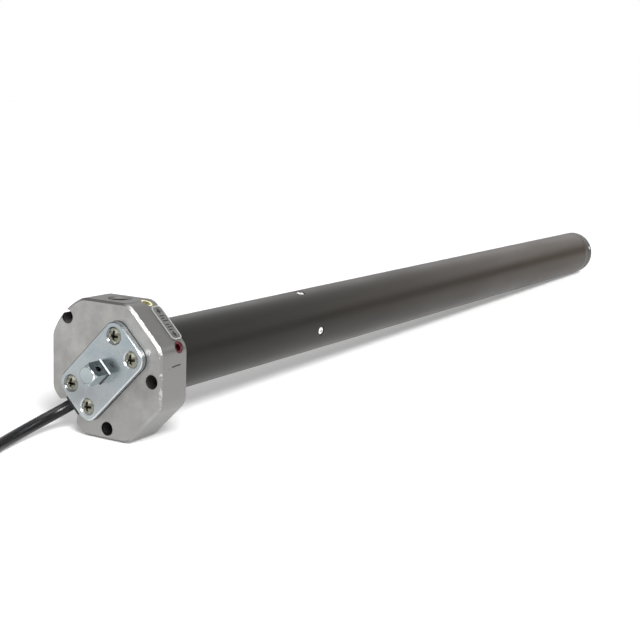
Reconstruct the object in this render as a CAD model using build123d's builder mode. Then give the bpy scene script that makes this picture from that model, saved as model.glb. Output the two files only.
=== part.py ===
"""Tubular roller blind motor with hand crank override, 45 mm series.

Frame: X runs along the motor tube from the head to the far end, Z is up, and Y runs to the
left of someone who looks along X. The origin lies on the tube axis, where the mounting plate
seats on the front face of the head. Lengths are in millimetres.
"""
from build123d import *
import math
import os

os.makedirs("parts", exist_ok=True)

# Fits shared by many pieces
running_gap = 0.05
seat_gap = 0.05
free_gap = 0.3
cut_overrun = 2.0

# Head casting
head_flats = 82.0
head_depth = 24.2
rear_plate_thickness = 2.6
front_wall = 5.0
head_corner_radius = 10.0
front_bevel = 1.4
rear_bevel = 0.8
gear_pocket_radius = 27.0
housing_depth = head_depth - rear_plate_thickness
head_half = head_flats / 2
corner_circle = head_half / math.cos(math.radians(22.5))

# Screws that hold the housing on the rear plate
head_screw_radius = 2.0
head_screw_head_radius = 3.5
head_screw_head_height = 4.0
head_screw_socket_flats = 3.0
head_screw_socket_depth = 2.0
head_screw_sink_radius = 4.2
head_screw_sink_depth = 12.0
head_screw_end_gap = 0.5
chamfer_screw_circle = 40.4
pair_screw_circle = 34.4
pair_screw_half_angle = 42.0

# Mounting plate and its screws
plate_length = 62.0
plate_width = 33.5
plate_thickness = 4.0
plate_corner_radius = 8.0
plate_edge_bevel = 0.6
plate_screw_pitch_long = 45.6
plate_screw_pitch_short = 17.5
plate_sink_radius = 5.4
plate_screw_shank_radius = 2.4
plate_screw_head_radius = 4.65
plate_screw_dome_height = 1.3
plate_screw_dome_radius = 3.2
plate_screw_end_gap = 0.4

# Square pin
pin_side = 10.0
pin_length = 12.0
pin_tip_radius = 4.9
pin_bevel_length = 2.5
pin_hole_radius = 2.0
pin_hole_from_plate = 6.0
pin_root_gap = 0.3

# Label panel on the chamfer beside the two adjusters
label_width = 9.0
label_length = 24.6
label_corner_radius = 2.8
label_thickness = 0.6
label_rim = 0.9
label_rim_step = 0.25
label_rear_gap = 0.3

# Crank port, bush and input shaft
crank_x = 13.0
port_radius = 7.0
port_depth = 6.0
crank_bush_radius = 7.6
crank_bush_length = 6.9
crank_cup_radius = 5.7
crank_cup_gap = 0.6
crank_collar_radius = 6.2
crank_collar_height = 0.9
crank_neck_radius = 3.0
crank_socket_flats = 7.0
crank_socket_depth = 6.0
crank_gear_teeth = 12
crank_gear_module = 0.9
crank_gear_hub_radius = 4.2

# Override shaft and its clutch drum
override_shaft_radius = 2.5
clutch_drum_radius = 9.0
clutch_drum_bore = 6.6
clutch_drum_base = 3.0
clutch_drum_depth = 8.5
clutch_hub_radius = 6.2
clutch_hub_length = 6.0

# Limit adjusters and their spindles
adjuster_x = 17.3
adjuster_angles = {"up": 22.5, "down": 67.5}
adjuster_radius = 3.65
adjuster_face_radius = 42.7
adjuster_knob_length = 6.0
adjuster_stem_radius = 1.6
adjuster_collar_radius = 4.2
adjuster_collar_height = 1.4
adjuster_socket_flats = 4.0
adjuster_socket_depth = 3.5
adjuster_gear_teeth = 10
adjuster_gear_module = 0.6
adjuster_gear_hub_radius = 2.3
spindle_circle = 16.0
spindle_radius = 1.4
spindle_thread_radius = 2.0
spindle_thread_length = 34.0
spindle_pitch = 1.0

# Bevel gear tooth form, as shares of the module
bevel_addendum_share = 0.75
bevel_dedendum_share = 1.05
bevel_backlash_share = 0.16
bevel_face_share = 0.33
bevel_flank_angle = 20.0

# Motor tube
tube_radius = 22.5
tube_wall = 1.25
tube_root_gap = 0.3
tube_inner = tube_radius - tube_wall
tube_start = head_depth + tube_root_gap
inner_radius = tube_inner - seat_gap

# Spigot of the rear plate
spigot_length = 28.0
spigot_wall = 2.3
wire_hole_radius = 4.5
wire_hole_circle = 12.5

# Limit switch carrier
carrier_from_spigot = 6.0
carrier_length = 62.0
carrier_disc_thickness = 4.0
carrier_disc_gap = 0.6
carrier_floor_thickness = 3.0
carrier_floor_drop = 3.2
carrier_wall_thickness = 2.0
carrier_wall_start = 9.5
carrier_start = head_depth + spigot_length + carrier_from_spigot
carrier_end = carrier_start + carrier_length

# Limit nuts and switches
nut_length = 6.0
nut_half_height = 3.4
nut_outer_width = 4.0
nut_guide_gap = 0.15
nut_travel = 5.0
nut_centre = carrier_start + carrier_length / 2
switch_length = 19.8
switch_height = 10.2
switch_width = 6.4
switch_plunger_radius = 1.2
switch_plunger_from_end = 2.6
switch_from_wall = 0.4
switch_from_end = 1.0

# Motor capacitor
capacitor_from_carrier = 8.0
capacitor_length = 52.0
capacitor_radius = 20.9
capacitor_bore = 4.0
capacitor_bead_depth = 0.9
capacitor_bead_width = 2.4
capacitor_bead_place = 6.0
capacitor_tab_length = 6.0
capacitor_tab_width = 4.8
capacitor_tab_thickness = 0.8
capacitor_tab_circle = 12.0
capacitor_tab_sink = 0.5
capacitor_start = carrier_end + capacitor_from_carrier
capacitor_end = capacitor_start + capacitor_length

# Motor shields, rivets and bushes
shield_gap = 20.1
shield_thickness = 16.0
shield_web = 5.0
shield_rim = 3.2
shield_hub_radius = 10.0
rear_shield_start = capacitor_end + shield_gap
rivet_head_radius = 2.5
rivet_dimple_radius = 2.9
rivet_shank_radius = 1.4
rivet_shank_depth = 4.0
rivet_head_sink = 0.25
rivet_count = 4
rivet_phase = 9.0
shaft_bush_radius = 6.5
shaft_bush_length = 8.0

# Rotor
rotor_shaft_radius = 4.0
rotor_radius = 11.2
rotor_air_gap = 0.35
rotor_ring_inner = 6.0
rotor_ring_length = 6.0

# Stator
stator_gap = 20.0
stator_length = 160.0
slot_count = 12
slot_depth = 5.2
slot_mouth_share = 0.34
slot_fill_gap = 0.25
end_turn_length = 13.0
end_turn_gap = 1.0
stator_start = rear_shield_start + shield_thickness + stator_gap
stator_end = stator_start + stator_length
front_shield_start = stator_end + stator_gap
front_shield_end = front_shield_start + shield_thickness

# Brake
brake_gap = 6.0
magnet_length = 26.0
magnet_back = 6.0
magnet_bore = 9.5
magnet_inner_wall = 2.6
magnet_outer_wall = 3.6
magnet_spring_lip = 7.0
magnet_spring_seat = 3.0
coil_side_gap = 0.3
coil_sink = 0.4
brake_travel = 0.5
brake_air_gap = 0.8
brake_disc_thickness = 5.5
brake_disc_radius = 19.6
brake_hub_flats = 9.0
brake_hub_gap = 0.08
lining_thickness = 2.4
lining_inner = 11.0
brake_plate_thickness = 6.0
brake_spring_radius = 8.8
brake_spring_inner = 6.2
brake_spring_thickness = 0.6
magnet_start = front_shield_end + brake_gap
magnet_end = magnet_start + magnet_length
brake_disc_start = magnet_end + brake_air_gap
lining_start = brake_disc_start + brake_disc_thickness
brake_plate_start = lining_start + lining_thickness
brake_plate_end = brake_plate_start + brake_plate_thickness

# Gearbox
gearbox_gap = 28.0
gearbox_wall_thickness = 9.0
ring_wall = 1.7
ring_teeth = 36
planet_teeth = 12
sun_teeth = 12
planet_count = 3
gear_addendum_share = 0.8
gear_dedendum_share = 1.05
gear_backlash_share = 0.12
gear_pressure_angle = 22.5
planet_pin_radius = 2.9
planet_side_gap = 0.4
sun_overhang = 1.0
carrier_plate_thickness = 7.0
planet_lengths = (18.0, 26.0, 38.0)
planet_recess = 14.0
stage_gap = 2.0
set_screw_from_ring = 9.0
set_screw_radius = 1.5
set_screw_length = 3.4
set_screw_sink = 0.15
set_screw_angle = 136.4
gearbox_wall_end = brake_plate_end + gearbox_gap + gearbox_wall_thickness
first_planets_start = gearbox_wall_end + planet_recess
stage_starts = [first_planets_start]
for length in planet_lengths[:-1]:
    stage_starts.append(stage_starts[-1] + length + planet_side_gap + carrier_plate_thickness
                        + planet_side_gap + stage_gap)
last_carrier_start = stage_starts[-1] + planet_lengths[-1] + planet_side_gap
ring_end = last_carrier_start + carrier_plate_thickness + stage_gap

# Output
output_shaft_radius = 8.0
output_nose_radius = 6.0
output_nose_length = 19.0
output_flat_length = 10.0
output_flat_depth = 1.2
output_groove_width = 1.2
output_groove_depth = 0.5
output_groove_from_end = 2.5
output_nose_bevel = 0.6
output_bush_radius = 11.0
output_bush_length = 14.0
output_housing_length = 165.25
housing_wall = 3.0
cap_length = 11.0
cap_seam_gap = 0.25
cap_groove_depth = 0.5
cap_bevel = 0.8
housing_nose_radius = 15.0
housing_nose_gap = 2.5
cap_screw_radius = 1.2
cap_screw_head_radius = 1.9
cap_screw_head_depth = 1.4
cap_screw_head_sink = 0.15
cap_screw_length = 9.0
cap_screw_phase = 71.0
cap_screw_count = 4
nose_end = ring_end + output_housing_length
cap_end = nose_end + housing_nose_gap
cap_start = cap_end - cap_length
tube_end = cap_start - cap_seam_gap

# Power lead
cord_radius = 3.5
bend_share = 0.45
grommet_half_width = 6.4
grommet_inner = 27.6
grommet_outer = 35.6
notch_half_width = 6.5
notch_throat = 36.0
notch_start = 33.0
notch_mouth_half_width = 9.6
grommet_gap = 0.1
channel_inner = 25.0
channel_outer = 34.0
coil_radius = 49.0
coil_pitch = 7.5
coil_half_turns = 6
core_radius = 1.15
core_spread_share = 1.3
ferrule_radius = 1.55
ferrule_length = 4.0
ferrule_pin_radius = 0.8
ferrule_pin_length = 8.0

# The lead's points: along the floor, across it, and height of its centre above it
lead_points = [
    (10.9, 21.2, 22.2),
    (3.5, 29.0, 16.1),
    (-4.4, 34.3, 11.5),
    (-17.2, 37.4, 7.8),
    (-37.0, 36.6, 4.7),
    (-58.0, 31.9, 3.5),
    (-77.0, 22.0, 3.5),
    (-94.0, 14.0, 3.5),
    (-110.0, 14.0, 3.5),
]
coil_centre = (-117.0, 63.0)
tail_points = [
    (-110.0, 112.0, 11.0),
    (-100.0, 112.0, 11.0),
    (-88.0, 111.5, 7.2),
    (-75.0, 109.5, 3.6),
    (-61.0, 106.0, 3.5),
]


def around(radius, angle, x=0.0):
    """Point at an angle from straight up towards -Y, on a circle about the tube axis."""
    turn = math.radians(angle)
    return Vector(x, -radius * math.sin(turn), radius * math.cos(turn))


def radial_plane(x, radius, angle):
    """Plane square to a radius of the tube, facing outwards."""
    return Plane(origin=around(radius, angle, x), x_dir=(1, 0, 0), z_dir=around(1, angle))


def turned(outline):
    """Solid of revolution about the tube axis from (x, radius) points."""
    with BuildPart() as piece:
        with BuildSketch(Plane.XY):
            with BuildLine():
                Polyline(*outline, close=True)
            make_face()
        revolve(axis=Axis.X)
    return piece


def ring(start, end, outer, inner):
    """Plain ring about the tube axis."""
    return turned([(start, inner), (end, inner), (end, outer), (start, outer)])


def octagon_block(start, depth, bevel, front):
    """Octagonal slab with one side round, rounded corners, and a bevel at its front or rear."""
    corners = []
    for side in range(8):
        turn = math.radians(22.5 + 45.0 * side)
        corners.append((corner_circle * math.cos(turn), corner_circle * math.sin(turn)))
    middle = (corner_circle * math.cos(math.radians(45.0)),
              corner_circle * math.sin(math.radians(45.0)))
    with BuildPart() as block:
        with BuildSketch(Plane.YZ.offset(start)) as outline:
            with BuildLine():
                Polyline(*corners[1:], corners[0])
                ThreePointArc(corners[0], middle, corners[1])
            make_face()
            fillet(outline.vertices(), head_corner_radius)
        extrude(amount=depth)
        faces = block.faces().sort_by(Axis.X)
        chamfer((faces[0] if front else faces[-1]).edges(), bevel)
    return block


def head_screw_places():
    """Places of the three screws on the face: one in the round upper left side, two below."""
    angles = [(45.0, chamfer_screw_circle)]
    for side in (-1, 1):
        angles.append((225.0 + side * pair_screw_half_angle, pair_screw_circle))
    places = []
    for angle, circle in angles:
        turn = math.radians(angle)
        places.append((circle * math.cos(turn), circle * math.sin(turn)))
    return places


# Gear teeth

def involute(angle):
    return math.tan(angle) - angle


def gear_outline(teeth, module, inner, outer, thinning, phase):
    """Corner points of a spur gear with involute flanks, two straight runs to a flank."""
    pitch = teeth * module / 2
    pressure = math.radians(gear_pressure_angle)
    base = pitch * math.cos(pressure)
    at_pitch = math.pi / (2 * teeth) - thinning / (2 * pitch)

    def half_angle(radius):
        rolled = math.acos(min(1.0, base / radius))
        return at_pitch + involute(pressure) - involute(rolled)

    middle = (inner + outer) / 2
    points = []
    for tooth in range(teeth):
        centre = 2 * math.pi * tooth / teeth + math.radians(phase)
        run = [(inner, -1), (middle, -1), (outer, -1), (outer, 1), (middle, 1), (inner, 1)]
        for radius, side in run:
            angle = centre + side * half_angle(max(radius, base))
            points.append((radius * math.cos(angle), radius * math.sin(angle)))
    return points


def bevel_outline(teeth, module, height, phase):
    """Corner points of a mitre gear in the plane at the given height above the apex."""
    pitch = teeth * module / 2
    cone = pitch * math.sqrt(2)
    lean = math.radians(bevel_flank_angle)
    corners = []
    for rise in (-bevel_dedendum_share * module, bevel_addendum_share * module):
        spread = math.tan(math.pi / 4 + math.atan(rise / cone))
        thickness = math.pi * module / 4 - rise * math.tan(lean) - bevel_backlash_share * module / 2
        corners.append((height * spread, thickness / (pitch + rise / math.sqrt(2))))
    points = []
    for tooth in range(teeth):
        centre = 2 * math.pi * tooth / teeth + math.radians(phase)
        for (radius, half), side in zip((*corners, *corners[::-1]), (-1, -1, 1, 1)):
            angle = centre + side * half
            points.append((radius * math.cos(angle), radius * math.sin(angle)))
    return points


def bevel_gear(apex, x_dir, z_dir, teeth, module, phase):
    """Toothed cone of a mitre gear, between its small and its large end."""
    large = teeth * module / 2
    small = large * (1 - bevel_face_share)
    base = Plane(origin=apex, x_dir=x_dir, z_dir=z_dir)
    with BuildPart() as gear:
        for height in (small, large):
            with BuildSketch(base.offset(height)):
                with BuildLine():
                    Polyline(*bevel_outline(teeth, module, height, phase), close=True)
                make_face()
        loft(ruled=True)
    return gear


# The floor that the motor lies on, under the edge of the head and the end of the tube
floor_lean = math.atan2(head_half - tube_radius, cap_end - head_depth)
floor_height = -head_half - head_depth * math.tan(floor_lean)
floor_plane = Plane(origin=(0, 0, floor_height),
                    x_dir=(math.cos(floor_lean), 0, math.sin(floor_lean)),
                    z_dir=(-math.sin(floor_lean), 0, math.cos(floor_lean)))


def on_floor(point):
    """Row-frame place of a point given along the floor, across it and above it."""
    return floor_plane.from_local_coords(Vector(*point))


lead_places = [on_floor(point) for point in lead_points]
lead_exit = Plane(origin=lead_places[0], z_dir=lead_places[1] - lead_places[0])

# Head

with BuildPart() as head_housing:
    add(octagon_block(0, housing_depth, front_bevel, True).part)
    with BuildSketch(Plane.YZ.offset(front_wall)):
        Circle(gear_pocket_radius)
    extrude(amount=housing_depth, mode=Mode.SUBTRACT)
    # Crank port in the top face, with a wider seat for the bush below it
    port_floor = head_half - port_depth
    with BuildSketch(Plane(origin=(crank_x, 0, head_half))):
        Circle(port_radius)
    extrude(amount=-port_depth, mode=Mode.SUBTRACT)
    with BuildSketch(Plane(origin=(crank_x, 0, port_floor))):
        Circle(crank_bush_radius)
    extrude(amount=gear_pocket_radius - cut_overrun - port_floor, mode=Mode.SUBTRACT)
    # Sunk holes of the head screws
    with BuildSketch(Plane.YZ):
        with Locations(*head_screw_places()):
            Circle(head_screw_sink_radius)
    extrude(amount=head_screw_sink_depth, mode=Mode.SUBTRACT)
    with BuildSketch(Plane.YZ):
        with Locations(*head_screw_places()):
            Circle(head_screw_radius + free_gap)
    extrude(amount=housing_depth, mode=Mode.SUBTRACT)
    # Bores of the two limit adjusters, through the corners beside the label
    for angle in adjuster_angles.values():
        with BuildSketch(radial_plane(adjuster_x, head_half + head_corner_radius, angle)):
            Circle(adjuster_radius + running_gap)
        extrude(amount=gear_pocket_radius - cut_overrun - head_half - head_corner_radius,
                mode=Mode.SUBTRACT)
    # Threaded holes of the plate screws
    plate_plane = Plane(origin=(0, 0, 0), x_dir=(0, -1, 1), z_dir=(-1, 0, 0))
    with BuildSketch(plate_plane):
        with GridLocations(plate_screw_pitch_long, plate_screw_pitch_short, 2, 2):
            Circle(plate_screw_shank_radius + seat_gap)
    extrude(amount=-front_wall, mode=Mode.SUBTRACT)
    # Cable notch: a flared mouth through the chamfer, and a channel from the gear pocket
    notch_plane = Plane(origin=(0, 0, 0), x_dir=(0, 1, 1), z_dir=(1, 0, 0))
    mouth = head_half + cut_overrun
    flare = (notch_mouth_half_width - notch_half_width) / (head_half - notch_throat)
    mouth_half = notch_half_width + flare * (mouth - notch_throat)
    with BuildSketch(notch_plane):
        with BuildLine():
            Polyline((-notch_half_width, -notch_start), (-notch_half_width, -notch_throat),
                     (-mouth_half, -mouth), (mouth_half, -mouth),
                     (notch_half_width, -notch_throat), (notch_half_width, -notch_start),
                     close=True)
        make_face()
    extrude(amount=housing_depth, mode=Mode.SUBTRACT)
    with BuildSketch(notch_plane.offset(front_wall)):
        with Locations((0, -(channel_inner + channel_outer) / 2)):
            Rectangle(2 * notch_half_width, channel_outer - channel_inner)
    extrude(amount=housing_depth, mode=Mode.SUBTRACT)
    with BuildSketch(lead_exit):
        Circle(cord_radius + free_gap)
    extrude(amount=head_depth, mode=Mode.SUBTRACT)

wire_hole_place = around(wire_hole_circle, -135.0)
spigot_inner = inner_radius - spigot_wall

with BuildPart() as head_rear_plate:
    add(octagon_block(housing_depth, rear_plate_thickness, rear_bevel, False).part)
    with BuildSketch(Plane.YZ.offset(head_depth)):
        Circle(inner_radius)
        Circle(spigot_inner, mode=Mode.SUBTRACT)
    extrude(amount=spigot_length)
    with BuildSketch(Plane.YZ.offset(housing_depth)):
        Circle(override_shaft_radius + running_gap)
        with Locations((wire_hole_place.Y, wire_hole_place.Z)):
            Circle(wire_hole_radius)
        with Locations(*head_screw_places()):
            Circle(head_screw_radius + seat_gap)
        for angle in adjuster_angles.values():
            place = around(spindle_circle, angle)
            with Locations((place.Y, place.Z)):
                Circle(spindle_radius + running_gap)
    extrude(amount=rear_plate_thickness, mode=Mode.SUBTRACT)

screw_seat = head_screw_sink_depth
with BuildPart() as head_screws:
    with BuildSketch(Plane.YZ.offset(screw_seat - head_screw_head_height)):
        with Locations(*head_screw_places()):
            Circle(head_screw_head_radius)
    extrude(amount=head_screw_head_height)
    with BuildSketch(Plane.YZ.offset(screw_seat)):
        with Locations(*head_screw_places()):
            Circle(head_screw_radius)
    extrude(amount=head_depth - head_screw_end_gap - screw_seat)
    with BuildSketch(Plane.YZ.offset(screw_seat - head_screw_head_height)):
        with Locations(*head_screw_places()):
            RegularPolygon(head_screw_socket_flats / 2, 6, major_radius=False)
    extrude(amount=head_screw_socket_depth, mode=Mode.SUBTRACT)

# Mounting plate, square pin and plate screws

with BuildPart() as mounting_plate:
    with BuildSketch(plate_plane):
        RectangleRounded(plate_length, plate_width, plate_corner_radius)
    extrude(amount=plate_thickness)
    chamfer(mounting_plate.faces().sort_by(Axis.X)[0].edges(), plate_edge_bevel)
    sink_depth = plate_sink_radius - plate_screw_shank_radius - free_gap
    with BuildSketch(plate_plane):
        Rectangle(pin_side + 2 * seat_gap, pin_side + 2 * seat_gap)
        with GridLocations(plate_screw_pitch_long, plate_screw_pitch_short, 2, 2):
            Circle(plate_screw_shank_radius + free_gap)
    extrude(amount=plate_thickness, mode=Mode.SUBTRACT)
    with BuildSketch(plate_plane.offset(plate_thickness)):
        with GridLocations(plate_screw_pitch_long, plate_screw_pitch_short, 2, 2):
            Circle(plate_sink_radius)
    extrude(amount=-sink_depth, taper=45, mode=Mode.SUBTRACT)

pin_tip = -plate_thickness - pin_length
with BuildPart() as square_pin:
    with BuildSketch(plate_plane.offset(pin_root_gap)):
        Rectangle(pin_side, pin_side)
    extrude(amount=plate_thickness + pin_length - pin_root_gap)
    with BuildSketch(Plane.XY):
        with BuildLine():
            Polyline((-pin_root_gap, 0), (-pin_root_gap, pin_side),
                     (pin_tip + pin_bevel_length, pin_side / math.sqrt(2)),
                     (pin_tip, pin_tip_radius), (pin_tip, 0), close=True)
        make_face()
    revolve(axis=Axis.X, mode=Mode.INTERSECT)
    pin_hole_x = -plate_thickness - pin_hole_from_plate
    with BuildSketch(Plane(origin=(pin_hole_x, 0, 0), x_dir=(1, 0, 0), z_dir=(0, -1, 1))):
        Circle(pin_hole_radius)
    extrude(amount=pin_side, both=True, mode=Mode.SUBTRACT)

screw_top = plate_thickness + plate_screw_head_radius + seat_gap - plate_sink_radius
screw_cone = plate_screw_head_radius - plate_screw_shank_radius
with BuildPart() as plate_screws:
    with BuildSketch(plate_plane.offset(screw_top)):
        with GridLocations(plate_screw_pitch_long, plate_screw_pitch_short, 2, 2):
            Circle(plate_screw_head_radius)
    extrude(amount=-screw_cone, taper=45)
    with BuildSketch(plate_plane.offset(screw_top)):
        with GridLocations(plate_screw_pitch_long, plate_screw_pitch_short, 2, 2):
            Circle(plate_screw_shank_radius)
    extrude(amount=-(screw_top + front_wall - plate_screw_end_gap))
    dome_lean = math.degrees(math.atan((plate_screw_head_radius - plate_screw_dome_radius)
                                       / plate_screw_dome_height))
    with BuildSketch(plate_plane.offset(screw_top)):
        with GridLocations(plate_screw_pitch_long, plate_screw_pitch_short, 2, 2):
            Circle(plate_screw_head_radius)
    extrude(amount=plate_screw_dome_height, taper=dome_lean)

label_plane = radial_plane(head_depth - label_rear_gap - label_width / 2, head_half, 45.0)
with BuildPart() as direction_label:
    with BuildSketch(label_plane):
        RectangleRounded(label_width, label_length, label_corner_radius)
    extrude(amount=label_thickness)
    with BuildSketch(label_plane.offset(label_thickness)):
        RectangleRounded(label_width - 2 * label_rim, label_length - 2 * label_rim,
                         label_corner_radius - label_rim)
    extrude(amount=-label_rim_step, mode=Mode.SUBTRACT)

# Crank override

bush_top = port_floor - seat_gap
with BuildPart() as crank_bush:
    with BuildSketch(Plane(origin=(crank_x, 0, bush_top))):
        Circle(crank_bush_radius - seat_gap)
        Circle(crank_cup_radius, mode=Mode.SUBTRACT)
    extrude(amount=-crank_bush_length)

crank_gear_height = crank_gear_teeth * crank_gear_module / 2
cup_bottom = bush_top - crank_bush_length - free_gap / 2
crank_section = Plane(origin=(crank_x, 0, 0), x_dir=(1, 0, 0), z_dir=(0, -1, 0))
with BuildPart() as crank_input:
    with BuildSketch(crank_section):
        with BuildLine():
            Polyline((0, crank_gear_height), (crank_gear_hub_radius, crank_gear_height),
                     (crank_gear_hub_radius, crank_gear_height + crank_neck_radius),
                     (crank_neck_radius, crank_gear_height + crank_neck_radius),
                     (crank_neck_radius, cup_bottom - crank_collar_height),
                     (crank_collar_radius, cup_bottom - crank_collar_height),
                     (crank_collar_radius, cup_bottom),
                     (crank_cup_radius - running_gap, cup_bottom),
                     (crank_cup_radius - running_gap, bush_top - crank_cup_gap),
                     (0, bush_top - crank_cup_gap), close=True)
        make_face()
    revolve(axis=Axis((crank_x, 0, 0), (0, 0, 1)))
    with BuildSketch(Plane(origin=(crank_x, 0, bush_top - crank_cup_gap))):
        RegularPolygon(crank_socket_flats / 2, 6, major_radius=False)
    extrude(amount=-crank_socket_depth, mode=Mode.SUBTRACT)
    add(bevel_gear((crank_x, 0, 0), (1, 0, 0), (0, 0, 1), crank_gear_teeth,
                   crank_gear_module, 0).part)

override_gear_end = crank_x + crank_gear_height
drum_start = rear_shield_start - clutch_drum_depth - clutch_drum_base - running_gap
drum_start = drum_start - free_gap
drum_end = drum_start + clutch_drum_base + clutch_drum_depth
with BuildPart() as override_shaft:
    add(turned([(override_gear_end, 0), (drum_end - clutch_drum_depth, 0),
                (drum_end - clutch_drum_depth, clutch_drum_bore), (drum_end, clutch_drum_bore),
                (drum_end, clutch_drum_radius), (drum_start, clutch_drum_radius),
                (drum_start, override_shaft_radius),
                (override_gear_end, override_shaft_radius)]).part)
    add(bevel_gear((crank_x, 0, 0), (0, 0, 1), (1, 0, 0), crank_gear_teeth,
                   crank_gear_module, 180.0 / crank_gear_teeth).part)

# Limit adjusters, spindles and nuts

gear_large = adjuster_gear_teeth * adjuster_gear_module / 2
collar_top = gear_pocket_radius - adjuster_collar_height / 2
adjusters = {}
spindles = {}
nuts = {}
switches_side = {"up": -1, "down": 1}
for label, angle in adjuster_angles.items():
    outward = around(1, angle)
    apex = around(spindle_circle, angle, adjuster_x)
    with BuildPart() as adjuster:
        with BuildSketch(radial_plane(adjuster_x, adjuster_face_radius, angle)):
            Circle(adjuster_radius)
        extrude(amount=-adjuster_knob_length)
        with BuildSketch(radial_plane(adjuster_x, spindle_circle + gear_large, angle)):
            Circle(adjuster_stem_radius)
        extrude(amount=adjuster_face_radius - adjuster_knob_length - spindle_circle - gear_large)
        with BuildSketch(radial_plane(adjuster_x, collar_top, angle)):
            Circle(adjuster_collar_radius)
        extrude(amount=-adjuster_collar_height)
        with BuildSketch(radial_plane(adjuster_x, spindle_circle + gear_large, angle)):
            Circle(adjuster_gear_hub_radius)
        extrude(amount=adjuster_gear_hub_radius)
        with BuildSketch(radial_plane(adjuster_x, adjuster_face_radius, angle)):
            RegularPolygon(adjuster_socket_flats / 2, 6, major_radius=False)
        extrude(amount=-adjuster_socket_depth, mode=Mode.SUBTRACT)
        add(bevel_gear(apex, (1, 0, 0), outward, adjuster_gear_teeth,
                       adjuster_gear_module, 0).part)
    adjusters[label] = adjuster
    place = around(spindle_circle, angle)
    thread_start = nut_centre - spindle_thread_length / 2
    with BuildPart() as spindle:
        with BuildSketch(Plane.YZ.offset(adjuster_x + gear_large)):
            with Locations((place.Y, place.Z)):
                Circle(spindle_radius)
        extrude(amount=carrier_end - adjuster_x - gear_large - seat_gap)
        with BuildSketch(Plane.YZ.offset(thread_start)):
            with Locations((place.Y, place.Z)):
                Circle(spindle_thread_radius)
        extrude(amount=spindle_thread_length)
        add(bevel_gear(apex, outward, (1, 0, 0), adjuster_gear_teeth,
                       adjuster_gear_module, 180.0 / adjuster_gear_teeth).part)
    spindles[label] = spindle

# The carrier's middle wall lies halfway between the two spindles
carrier_plane = Plane(origin=(0, 0, 0), x_dir=(0, -1, 1), z_dir=(1, 0, 0))
half_spread = math.radians(adjuster_angles["down"] - adjuster_angles["up"]) / 2
spindle_out = spindle_circle * math.cos(half_spread)
spindle_side = spindle_circle * math.sin(half_spread)
wall_half = carrier_wall_thickness / 2
disc_radius = inner_radius - carrier_disc_gap

for label, side in switches_side.items():
    with BuildPart() as nut:
        with BuildSketch(carrier_plane.offset(nut_centre - nut_length / 2)):
            near = wall_half + nut_guide_gap
            far = spindle_side + nut_outer_width
            with Locations((spindle_out, side * (near + far) / 2)):
                Rectangle(2 * nut_half_height, far - near)
            with Locations((spindle_out, side * spindle_side)):
                Circle(spindle_thread_radius + running_gap, mode=Mode.SUBTRACT)
        extrude(amount=nut_length)
    nuts[label] = nut

with BuildPart() as limit_carrier:
    for start in (carrier_start, carrier_end - carrier_disc_thickness):
        with BuildSketch(carrier_plane.offset(start)):
            Circle(disc_radius)
            Circle(override_shaft_radius + running_gap, mode=Mode.SUBTRACT)
            for side in switches_side.values():
                with Locations((spindle_out, side * spindle_side)):
                    Circle(spindle_radius + running_gap, mode=Mode.SUBTRACT)
        extrude(amount=carrier_disc_thickness)
    with BuildSketch(carrier_plane.offset(carrier_start)):
        floor_half = math.sqrt(disc_radius ** 2
                               - (carrier_floor_drop + carrier_floor_thickness) ** 2)
        with Locations((-carrier_floor_drop - carrier_floor_thickness / 2, 0)):
            Rectangle(carrier_floor_thickness, 2 * floor_half)
        wall_top = disc_radius - free_gap
        with Locations(((carrier_wall_start + wall_top) / 2, 0)):
            Rectangle(wall_top - carrier_wall_start, carrier_wall_thickness)
    extrude(amount=carrier_length)

with BuildPart() as limit_switches:
    switch_start = carrier_end - carrier_disc_thickness - switch_from_end - switch_length
    for side in switches_side.values():
        across = side * (override_shaft_radius + switch_from_wall + switch_width / 2)
        with BuildSketch(carrier_plane.offset(switch_start)):
            with Locations((switch_height / 2 - carrier_floor_drop, across)):
                Rectangle(switch_height, switch_width)
        extrude(amount=switch_length)
        plunger_x = switch_start + switch_plunger_from_end
        switch_top = switch_height - carrier_floor_drop
        with BuildSketch(Plane(origin=carrier_plane.from_local_coords((switch_top, across, plunger_x)),
                               x_dir=(1, 0, 0), z_dir=(0, -1, 1))):
            Circle(switch_plunger_radius)
        extrude(amount=spindle_out - nut_half_height - nut_guide_gap - switch_top)

# Capacitor and motor

bead_start = capacitor_start + capacitor_bead_place
with BuildPart() as capacitor:
    add(turned([(capacitor_start, capacitor_bore), (capacitor_end, capacitor_bore),
                (capacitor_end, capacitor_radius),
                (bead_start + capacitor_bead_width, capacitor_radius),
                (bead_start + capacitor_bead_width / 2, capacitor_radius - capacitor_bead_depth),
                (bead_start, capacitor_radius), (capacitor_start, capacitor_radius)]).part)
    with BuildSketch(Plane.YZ.offset(capacitor_start + capacitor_tab_sink)):
        with PolarLocations(capacitor_tab_circle, 2):
            Rectangle(capacitor_tab_thickness, capacitor_tab_width)
    extrude(amount=-capacitor_tab_length)


def shield(start, flip):
    """Cup-shaped motor shield with a hub for its bush, the web at the outer end."""
    with BuildPart() as piece:
        end = start + shield_thickness
        web = (start, start + shield_web) if flip else (end - shield_web, end)
        rim_inner = inner_radius - shield_rim
        add(ring(start, end, inner_radius, rim_inner).part)
        add(ring(web[0], web[1], rim_inner + shield_rim / 2, shaft_bush_radius + seat_gap).part)
        add(ring(start, end, shield_hub_radius, shaft_bush_radius + seat_gap).part)
    return piece


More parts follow.
